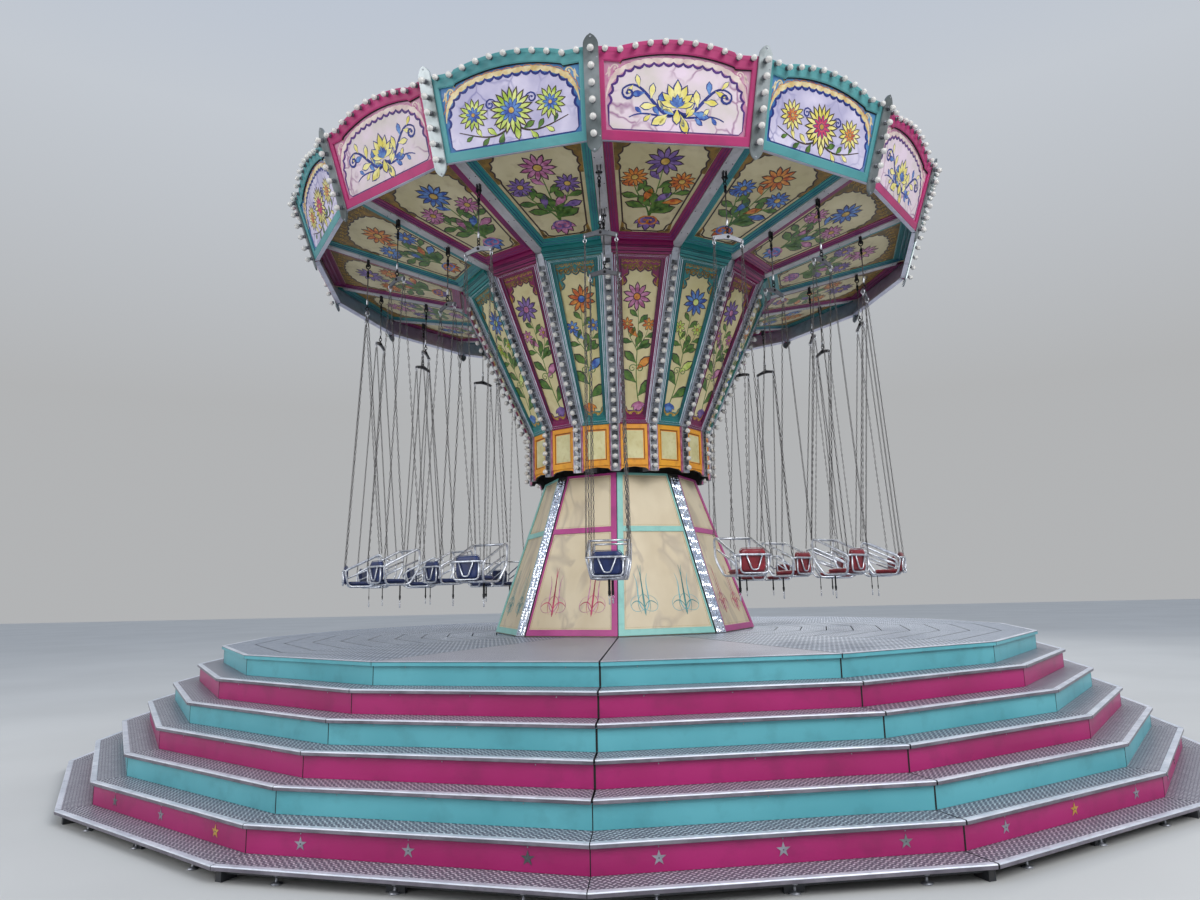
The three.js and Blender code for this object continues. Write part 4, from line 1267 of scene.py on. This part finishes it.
def crown_field(facet):
    """Field outline: notched corners below, scallops above."""
    low, high = CROWN_FIELD_Y, CROWN_FIELD_Y + CROWN_NOTCH
    a = facet.half_at(low) - 0.141
    foot = [(-a + CROWN_NOTCH, low), (a - CROWN_NOTCH, low), (a, high)]
    return foot + scalloped(crown_arch(facet), 19, 0.026) + [(-a, high)]


def crown_rosettes(art, wide, heart, accent):
    """Three wide rosettes joined by leafy scrolls."""
    y = 0.375
    for hand in HANDS:
        stem = bezier((0, y - 0.10), (hand * 0.14, y - 0.26), (hand * 0.30, y - 0.20),
                      (hand * 0.53, y - 0.12), 14)
        branch(art, stem, 0.022, 0.13, [wide, "leaf_green"], 6, "brown_line")
        rosette(art, hand * 0.375, y + 0.015, 0.150, 13, wide, accent)
        rosette(art, hand * 0.375, y + 0.015, 0.078, 9, accent, edge="navy_line", low=0.003)
        scroll(art, hand * 0.17, y + 0.12, -0.9, hand, 0.050, 0.016, "navy_line", 0, 1.2, 0.06)
    rosette(art, 0, y, 0.215, 18, wide, accent, low=0.002)
    rosette(art, 0, y, 0.120, 11, heart, edge="navy_line", low=0.004)


def crown_palmette(art):
    """A palmette between two long leafy scrolls."""
    y = 0.33
    navy = "navy_line"
    for hand in HANDS:
        stem = bezier((0, y - 0.05), (hand * 0.18, y - 0.20), (hand * 0.30, y + 0.30),
                      (hand * 0.50, y + 0.12), 18)
        branch(art, stem, 0.042, 0.185, ["yellow_petal", "yellow_petal", "blue_petal"], 8, navy, navy, 0.9)
        scroll(art, hand * 0.50, y + 0.12, -2.6, hand, 0.062, 0.024, navy, 0.001)
        stem = bezier((0, y - 0.06), (hand * 0.10, y - 0.16), (hand * 0.28, y - 0.02),
                      (hand * 0.44, y - 0.12))
        branch(art, stem, 0.026, 0.115, ["blue_petal", "yellow_petal"], 5, navy, navy)
    spray(art, 0, y - 0.02, 0.0, 0.235, "yellow_petal", navy, 0.002, 7)
    spray(art, 0, y - 0.02, 0.0, 0.115, "blue_petal", navy, 0.004)
    leaf(art, 0, y - 0.03, math.pi, 0.13, 0.07, "yellow_petal", navy, 0.002)


def crown_lace(art, arch, lace, edging):
    """Pale lace round the field, a thin scalloped edge outside it and scrolls in the upper corners."""
    level = CROWN_RECESS
    band = [(x * 1.035, 0.40 + (y - 0.40) * 1.07) for x, y in arch[1:-1]]
    widths = [0.046 * min(1.0, 0.15 + 0.14 * min(k, len(band) - 1 - k)) for k in range(len(band))]
    art.ribbon(band, widths, level - 0.0005, level + 0.0010, lace)
    edge = scalloped([(x * 1.02, y + 0.020) for x, y in band[::-1]], 17, 0.014)
    art.ribbon(edge, 0.006, level, level + 0.0022, edging)
    for hand in HANDS:
        scroll(art, hand * 0.600, 0.640, -0.6, -hand, 0.034, 0.015, lace, level, tail=0.10)
        scroll(art, hand * 0.560, 0.690, 0.9, -hand, 0.028, 0.012, "gold_light", level, 1.0, 0.05)
        leaf(art, hand * 0.628, 0.52, 0.0, 0.11, 0.022, lace, "pale_line", level)


def build_crown_boards():
    names = ("crown_frames", "crown_boards", "crown_ornament", "crown_backs")
    frames, boards, art, backs = (Piece(name) for name in names)
    level = CROWN_RECESS
    for side in range(SIDES):
        facet = crown_facet(side + 0.5)
        for piece in (frames, boards, art, backs):
            piece.matrix = facet.matrix
        rosy = side % 2 == 0
        paint = "crown_pink" if rosy else "crown_teal"
        outer = crown_outline(facet, 0.010, 0.0, 0.0)
        inner = crown_outline(facet, 0.114, 0.088, 0.120)
        section = [(0, -0.003), (0.05, 0.0), (0.90, 0.0), (1, -0.006)]
        frames.moulding(outer, inner, section, paint, -CROWN_PANEL)
        frames.ribbon(inwards(outer, inner, 0.30)[2:], 0.006, -0.0005, 0.002, paint)
        # Painted shade: a dark strip along the top of the opening, where the reveal lies in shade
        art.ribbon(inner[2:-1], 0.016, level, -0.012, "dark_joint_and_painted_shade")
        wall = crown_outline(facet, 0.110, 0.084, 0.116)
        boards.prism(wall, level - 0.012, level, "rose_border" if rosy else "blue_border")
        field = crown_field(facet)
        boards.prism(field, level - 0.001, level + 0.0015, "marbled_board" if rosy else "lilac_board")
        widths = [0.008 + 0.014 * min(1.0, max(0.0, y - 0.20) / 0.15) for x, y in field]
        art.ribbon(field, widths, level, level + 0.0035, "violet_line" if rosy else "navy_line", True)
        lace, edging = ("pale_line", "rose_petal") if rosy else ("gold_lace", "orange_petal")
        crown_lace(art, crown_arch(facet), lace, edging)
        art.matrix = facet.matrix @ shift(0, 0, level + 0.0015)
        if rosy:
            crown_palmette(art)
        elif side % 4 == 3:
            crown_rosettes(art, "lime_petal", "blue_petal", "blue_petal")
        else:
            crown_rosettes(art, "yellow_petal", "crimson_petal", "orange_petal")
        back = -CROWN_PANEL
        backs.prism(crown_outline(facet, 0.012, 0.004, 0.003), back - 0.0015, back + 0.0005, "back_metal")
        backs.prism(plank(facet.low_half - 0.02, 0, 0.05), back - 0.020, back - 0.001, "back_metal")
        backs.prism(plank(facet.low_half - 0.02, -0.0025, 0.0005), back - 0.020, -0.004, "back_metal")
    frames.make("head", "crown_board", "crown_panels")
    boards.make("head", "crown_board")
    art.make("head", "crown_board")
    backs.make("head", "beam_paint")


def crown_plate_outline(length, inset=0.0):
    """Lamp plate with a gothic point at each end."""
    wide = STRIP_WIDTH / 2 - inset
    low = -STRIP_BELOW + inset
    top = length + 0.006
    right = []
    for k in range(6):
        right.append((wide * math.sin(math.pi / 10 * k) ** 0.7, low + STRIP_BELOW * 0.86 * k / 5))
    for k in range(5):
        right.append((wide * math.cos(math.pi / 10 * k) ** 0.7, top + (STRIP_ABOVE - 0.006 - inset) * k / 5))
    return right + [(0, length + STRIP_ABOVE - inset)] + mirrored(right[1:])


def build_crown_plates(lamps):
    piece = Piece("crown_lamp_plates")
    for step in range(SIDES):
        facet = crown_facet(step, 0.0)
        piece.matrix = facet.matrix
        piece.prism(crown_plate_outline(facet.length), -0.008, 0.006, "plate_metal")
        piece.prism(crown_plate_outline(facet.length, 0.006), 0.005, 0.008, "plate_metal")
        start = facet.length / 2 - PLATE_LAMP_PITCH * (PLATE_LAMPS - 1) / 2
        for k in range(PLATE_LAMPS):
            lamp(lamps, facet.matrix @ shift(0, start + k * PLATE_LAMP_PITCH, 0.008), PLATE_LAMP)
        screws = [(0.052, start + 4.55 * PLATE_LAMP_PITCH, 0.008),
                  (0.052, start - 0.1 * PLATE_LAMP_PITCH, 0.008),
                  (0, -STRIP_BELOW + 0.028, 0.009), (0, facet.length + STRIP_ABOVE - 0.030, 0.008)]
        for x, y, radius in screws:
            piece.screw(x, y, 0.0078, radius, "silver_rail")
    piece.make("head", "rail_metal")


def build_arch_lamps(lamps):
    """Lamps along the arched top edges, standing forward on the frames."""
    for side in range(SIDES):
        facet = crown_facet(side + 0.5)
        arc = facet.high_half * (1 - 2 * CROWN_SHOULDER_SHARE)
        wide = facet.high_half - STRIP_WIDTH / 2 - 0.055
        for k in range(ARCH_LAMPS):
            x = wide * (2 * k / (ARCH_LAMPS - 1) - 1)
            rise = CROWN_ARCH * (1 - min(1.0, abs(x) / arc) ** 2)
            lamp(lamps, facet.matrix @ shift(x, facet.length - 0.030 + rise, 0.0), CROWN_LAMP)


def build_lamps():
    lamps = Piece("lamp_globes"), Piece("lamp_sockets")
    build_rails(lamps)
    build_crown_plates(lamps)
    build_arch_lamps(lamps)
    lamps[0].make("head", "rail_metal")
    lamps[1].make("head", "frame_paint")


# Hooks
def pivot_height(radius):
    return beam_under(radius) - HOOK_DROP


def build_hooks():
    """Pins through the hooks' cheeks, and bolts along the beams."""
    piece = Piece("hook_brackets")
    pin = [(0, 0), (0.014, 0), (0.014, 0.007), (0.007, 0.008), (0.007, 0.013), (0, 0.013)]
    for step in range(SIDES):
        azimuth = turn(step)
        for radius in [OUTER_HOOK_RADIUS] + ([] if step % 2 else [INNER_HOOK_RADIUS]):
            piece.matrix = Matrix.Translation(spot(azimuth, radius, pivot_height(radius))) @ spin(azimuth)
            for hand in HANDS:
                face = shift(hand * HOOK_CHEEK, 0, 0) @ spin(hand * math.pi / 2, "Y")
                piece.lathe(pin, 6, "black_iron", face, False)
        for radius in BEAM_BOLT_RADII:
            place = Matrix.Translation(spot(azimuth, radius, beam_under(radius))) @ spin(azimuth)
            piece.matrix = place @ spin(-math.atan(BEAM_SLOPE), "X") @ spin(math.pi, "X")
            for x in (0.036, -0.036):
                piece.screw(x, 0.0, 0.0004, 0.006, "black_iron")
    piece.make("head", "frame_paint")


# Seats
def ring_of(corners, z=0.0):
    return rounded([(x, y, z) for x, y in corners], CORNER, closed=True)


def bake_modifiers(piece):
    depsgraph = bpy.context.evaluated_depsgraph_get()
    baked = bpy.data.meshes.new_from_object(piece.evaluated_get(depsgraph))
    piece.modifiers.clear()
    piece.data = baked


def padded_mesh(corners, low, high):
    """A stuffed pad from a rounded outline: crowned, tight and with soft pulled-in sides."""
    block = Piece("pad")
    block.prism([(p.x, p.y) for p in ring_of(corners)], low, high, "blue_vinyl")
    piece = show("pad", block.mesh())
    remesh = piece.modifiers.new("Remesh", "REMESH")
    remesh.mode = "VOXEL"
    remesh.voxel_size = PAD_VOXEL
    bake_modifiers(piece)
    inflate(piece)
    smooth = piece.modifiers.new("Smooth", "SMOOTH")
    smooth.factor = 0.5
    smooth.iterations = 3
    bake_modifiers(piece)
    mesh = piece.data
    bpy.data.objects.remove(piece)
    mesh.polygons.foreach_set("use_smooth", [True] * len(mesh.polygons))
    return mesh


def inflate(piece):
    """Cloth under pressure, held to a few millimetres of swell."""
    start = [v.co.copy() for v in piece.data.vertices]
    cloth = piece.modifiers.new("Cloth", "CLOTH")
    cloth.settings.use_pressure = True
    cloth.settings.uniform_pressure_force = PAD_PRESSURE
    cloth.settings.quality = 5
    cloth.settings.effector_weights.gravity = 0.0
    scene = bpy.context.scene
    for step in range(PAD_FRAMES):
        scene.frame_set(step + 1)
    bake_modifiers(piece)
    scene.frame_set(1)
    for vertex, before in zip(piece.data.vertices, start):
        swell = vertex.co - before
        if swell.length > PAD_SWELL:
            vertex.co = before + swell.normalized() * PAD_SWELL


def side_at(z):
    """Half the width between a seat's side loops, drawn in below the back bar."""
    share = min(1.0, max(0.0, (BACK_BAR_Z - z) / (BACK_BAR_Z - SEAT_BOTTOM_Z)))
    return SEAT_SIDE + (SEAT_FOOT_SIDE - SEAT_SIDE) * share


def chain(piece, start, end):
    """Links from start to end, each turned a quarter from the last."""
    start, end = Vector(start), Vector(end)
    line = end - start
    count = max(1, round(line.length / LINK_PITCH))
    straight = line.length / count * 0.62
    link = [(x, 0, z + math.copysign(straight / 2, z)) for x, z in
            ((LINK_WIDTH / 2 * math.cos(turn(k + 0.5, 6)), LINK_WIDTH / 2 * math.sin(turn(k + 0.5, 6)))
             for k in range(6))]
    lean = line.to_track_quat("Z", "Y").to_matrix().to_4x4()
    for k in range(count):
        place = Matrix.Translation(start + line * ((k + 0.5) / count)) @ lean @ spin(math.pi / 2 * k + 0.4)
        piece.sweep(link, LINK_WIRE, 3, "chain_steel", True, place)


def shackle(piece, x, y, z, radius, thick, finish, angle=0.0):
    """A bowed ring."""
    path = [(radius * math.sin(turn(k, 12)), 0, radius * 1.25 * math.cos(turn(k, 12))) for k in range(12)]
    piece.sweep(path, thick, 6, finish, True, shift(x, y, z) @ spin(angle))


def seat_frame_mesh():
    piece = Piece("seat_frame")

    def tube(path, share, sides=8, closed=False):
        piece.sweep(path, TUBE_RADIUS * share, sides, "galvanised", closed)

    low = SEAT_BOTTOM_Z - TUBE_RADIUS * 0.2
    for side in HANDS:
        loop = [(BACK_Y - 0.006, BACK_BAR_Z), (FRONT_Y - 0.03, FRONT_BAR_Z - 0.008),
                (FRONT_Y, FRONT_BAR_Z - 0.03), (FRONT_Y - 0.004, SEAT_BOTTOM_Z + 0.15), (PAN_FRONT_Y, low),
                (BACK_Y + 0.04, low)]
        tube(rounded([(side * side_at(z), y, z) for y, z in loop], CORNER, closed=True), 1, closed=True)
        x = side * side_at(BACK_BAR_Z - 0.10) * 0.985
        tube([(x, BACK_Y + 0.01, BACK_BAR_Z - 0.09), (x, FRONT_Y - 0.008, FRONT_BAR_Z - 0.12)], 0.8, 6)
    for y, z in ((FRONT_Y - 0.012, FRONT_BAR_Z - 0.014), (PAN_FRONT_Y - 0.03, low), (BACK_Y + 0.06, low)):
        tube([(side * side_at(z), y, z) for side in HANDS], 0.92)
    rear = BACK_Y - 0.022

    def bent(half, y, top, inner_half, inner_y, bottom, radius, steps, share):
        """A bar between the sides that is bent twice."""
        right = [(half, y, top), (inner_half, inner_y, bottom)]
        left = [(-x, py, z) for x, py, z in right]
        tube(rounded(left + right[::-1], radius, steps), share)

    bent(SEAT_SIDE, BACK_Y, BACK_BAR_Z, SEAT_SIDE - 0.05, rear, BACK_BAR_Z + 0.004, 0.03, 4, 0.92)
    bent(0.080, rear, BACK_BAR_Z, 0.030, rear - 0.002, 1.836, 0.022, 4, 0.62)
    bent(PAD_HALF + 0.006, rear + 0.004, 1.955, PAD_HALF + 0.006, rear + 0.004, 1.806, CORNER, 5, 0.7)
    return piece.mesh()


def hanger_mesh(pivot):
    """Eye, swivel, rod and winged spreader with its shackles."""
    piece = Piece("seat_hanger")
    quarter = math.pi / 2
    spreader = pivot - SPREADER_DROP
    shackle(piece, 0, 0, pivot - 0.014, 0.025, 0.007, "black_iron", quarter)
    shackle(piece, 0, 0, pivot - 0.062, 0.014, 0.0055, "black_iron")
    swivel = [(0, 0), (0.011, 0), (0.016, -0.012), (0.016, -0.032), (0.009, -0.042), (0.015, -0.052),
              (0.015, -0.070), (0.008, -0.080), (0, -0.080)]
    piece.lathe(swivel, 10, "black_iron", shift(0, 0, pivot - 0.078))
    piece.sweep([(0, 0, pivot - 0.15), (0, 0, spreader + 0.19)], 0.0062, 8, "chain_steel")
    barrel = [(0, 0), (0.008, 0), (0.0125, -0.012), (0.0125, -0.060), (0.008, -0.072), (0, -0.072)]
    piece.lathe(barrel, 8, "galvanised", shift(0, 0, spreader + 0.205))
    for k, size in enumerate((0.015, 0.018, 0.015)):
        shackle(piece, 0, 0, spreader + 0.117 - 0.034 * k, size, 0.0055, "black_iron", quarter * k)
    half = SPREADER_WIDTH / 2
    wing = [(0.045, -0.008), (half - 0.022, -0.028), (half, -0.026), (half + 0.001, 0.002),
            (half - 0.020, 0.012), (0.060, 0.034), (0.024, 0.046)]
    upright = shift(0, 0, spreader) @ spin(quarter, "X")
    piece.prism(wing + mirrored(wing), -0.010, 0.010, "dull_metal", upright)
    boss = [(0, -0.020), (0.013, -0.020), (0.015, -0.012), (0.015, 0.012), (0.013, 0.020), (0, 0.020)]
    piece.lathe(boss, 10, "black_iron", upright @ shift(0, 0.018, 0))
    for side in HANDS:
        x = side * SPREADER_EYE_X
        shackle(piece, x, 0, spreader - 0.026, 0.021, 0.0050, "galvanised", quarter)
        shackle(piece, x, 0, spreader - 0.060, 0.015, 0.0045, "galvanised")
    return piece.mesh()


def chain_mesh(pivot):
    piece = Piece("seat_chains")
    top = pivot - SPREADER_DROP - 0.068
    for side in HANDS:
        for y, z, start_y in ((FRONT_Y, FRONT_BAR_Z, 0.006), (BACK_Y, BACK_BAR_Z, -0.006)):
            chain(piece, (side * SPREADER_EYE_X, start_y, top), (side * SEAT_SIDE, y, z + 0.006))
    return piece.mesh()


def strap_mesh():
    """Webbing strap under the pan's front edge with a snap hook."""
    piece = Piece("seat_strap")
    y = PAN_FRONT_Y - 0.022
    low = STRAP_END_Z + 0.075
    upright = shift(0, y, 0) @ spin(math.pi / 2, "X")
    piece.prism(plank(0.011, low, SEAT_BOTTOM_Z + 0.01), -0.002, 0.002, "webbing", upright)
    piece.prism(plank(0.013, low + 0.02, low + 0.05), -0.0045, 0.0045, "black_iron", upright)
    shackle(piece, 0, y, low - 0.008, 0.011, 0.0028, "galvanised")
    hook = [(0, 0), (0.006, 0), (0.008, 0.010), (0.006, 0.030), (0.010, 0.040), (0.004, 0.048), (0, 0.048)]
    piece.lathe(hook, 8, "galvanised", shift(0, y, STRAP_END_Z + 0.003))
    return piece.mesh()


def piping_mesh(squab, squab_z, rest, rest_place, material):
    piece = Piece("seat_piping")
    for corners, z, place in ((squab, squab_z, WORLD), (rest, 0.0, rest_place)):
        piece.sweep(ring_of(corners, z), PIPING_RADIUS, 5, material, True, place)
    return piece.mesh()


def coloured(mesh, material):
    copied = mesh.copy()
    copied.materials.clear()
    copied.materials.append(materials[material])
    return copied


def build_seats():
    back, front = BACK_Y + 0.03, PAN_FRONT_Y - 0.006
    squab = plank(PAD_HALF - 0.004, back, front, PAD_HALF - 0.010)
    rest = plank(PAD_HALF - 0.010, SEAT_BOTTOM_Z + 0.022, BACKREST_TOP_Z - 0.004, PAD_HALF - 0.002)
    low = SEAT_BOTTOM_Z + TUBE_RADIUS * 0.9
    squab_shape = padded_mesh(squab, low + 0.004, low + PAD - 0.004)
    rest_shape = padded_mesh(rest, -0.5 * PAD + 0.005, 0.5 * PAD - 0.005)
    rest_place = shift(0, BACK_Y + 0.012, 0) @ spin(math.pi / 2, "X")
    rest_shape.transform(rest_place)
    shapes = {}
    for colour in ("blue", "red"):
        vinyl_name = f"{colour}_vinyl"
        pads = [coloured(shape, vinyl_name) for shape in (squab_shape, rest_shape)]
        shapes[colour] = pads + [piping_mesh(squab, low + PAD / 2, rest, rest_place, vinyl_name)]
    frame_shape = seat_frame_mesh()
    strap_shape = strap_mesh()
    for row, radius, stride in (("outer", OUTER_HOOK_RADIUS, 1), ("inner", INNER_HOOK_RADIUS, 2)):
        pivot = pivot_height(radius)
        hanger = hanger_mesh(pivot)
        chains = chain_mesh(pivot)
        for step in range(0, SIDES, stride):
            name = f"seat_{row}_{step // stride + 1}"
            body = f"{name}_body"
            colour = "red" if 0 < step < SIDES / 2 else "blue"
            squab_mesh, rest_mesh, piping = shapes[colour]
            matrix = Matrix.Translation(spot(turn(step), radius)) @ spin(turn(step))
            put(f"{name}_tubes", frame_shape, body, [name], matrix)
            put(f"{name}_squab", squab_mesh, body, (), matrix)
            put(f"{name}_backrest", rest_mesh, body, (), matrix)
            put(f"{name}_piping", piping, body, (), matrix)
            put(f"{name}_hanger", hanger, body, (), matrix)
            put(f"{name}_chains", chains, body, (), matrix)
            put(f"{name}_strap", strap_shape, body, (), matrix)


# Finishes of the carried-over solids
def dress_solids():
    # The collar's panels take amber with painted shade on their inner, top and bottom faces
    finishes = {"base_frame": "frame_paint", "tower_frame": "dull_metal", "head_frame": "beam_paint",
                "collar_panels": "amber_with_painted_shade", "funnel_panels": "board_cream",
                "ceiling_panels": "ceiling_cream"}
    for level in range(TREAD_COUNT):
        finishes[f"riser_{level + 1}"] = "teal_enamel" if level % 2 else "pink_enamel"
    for side in range(TOWER_SIDES):
        finishes[f"tower_panel_{side + 1}"] = "tower_cream"
    for node, finish in finishes.items():
        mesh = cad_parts[node].data
        mesh.materials.clear()
        mesh.materials.append(materials[finish])


# Camera, light and floor
def add_camera():
    yaw, pitch, roll = (math.radians(angle) for angle in CAMERA_TURN)
    forward = Vector((math.sin(yaw) * math.cos(pitch), math.cos(yaw) * math.cos(pitch), math.sin(pitch)))
    right = Vector((math.cos(yaw), -math.sin(yaw), 0))
    up = right.cross(forward)
    tilted_right = right * math.cos(roll) + up * math.sin(roll)
    tilted_up = up * math.cos(roll) - right * math.sin(roll)
    data = bpy.data.cameras.new("camera")
    data.sensor_width = CAMERA_SENSOR
    data.lens = CAMERA_LENS
    data.clip_end = CAMERA_REACH
    camera = show("camera", data)
    camera.matrix_world = shift(*CAMERA_PLACE) @ basis(tilted_right, tilted_up, -forward)
    bpy.context.scene.camera = camera


def add_area(name, place, target_z, size, power):
    data = bpy.data.lights.new(name, "AREA")
    data.size = size
    data.energy = power
    light = show(name, data)
    light.location = place
    light.rotation_euler = (Vector((0, 0, target_z)) - Vector(place)).to_track_quat("-Z", "Y").to_euler()


def add_studio():
    world = bpy.data.worlds.new("studio")
    world.use_nodes = True
    nodes = Nodes(world.node_tree)
    height = nodes.split(nodes.add("TexCoord", {}, "Generated"))[2]
    sky = nodes.ramp(nodes.between(height, -0.2, 1.2), [(0.10, (0.62, 0.63, 0.64, 1.0)),
                                                        (0.50, (0.76, 0.81, 0.88, 1.0)),
                                                        (0.85, (0.64, 0.74, 0.92, 1.0))])
    background = world.node_tree.nodes["Background"]
    world.node_tree.links.new(sky, background.inputs["Color"])
    background.inputs["Strength"].default_value = 0.72
    bpy.context.scene.world = world
    add_area("key", (10.0, -15.0, 14.0), 3.0, 11.0, 2300.0)
    add_area("fill", (-13.0, -12.0, 8.0), 3.0, 11.0, 900.0)
    add_area("rim", (4.0, 15.0, 13.0), 4.0, 9.0, 1100.0)
    bpy.context.scene.view_settings.view_transform = "Standard"


def add_floor():
    mesh = bpy.data.meshes.new("floor")
    corners = plank(FLOOR_HALF, -FLOOR_HALF, FLOOR_HALF)
    mesh.from_pydata([(x, y, 0) for x, y in corners], [], [(0, 1, 2, 3)])
    mesh.materials.append(materials["floor_paint"])
    show("floor", mesh)


make_materials()
add_camera()
add_studio()
add_floor()
dress_solids()
build_treads()
build_deck()
build_risers()
build_feet()
build_tower()
build_tower_strips()
build_collar()
build_funnel()
build_cornice()
build_ceiling()
build_crown_boards()
build_lamps()
build_hooks()
build_seats()
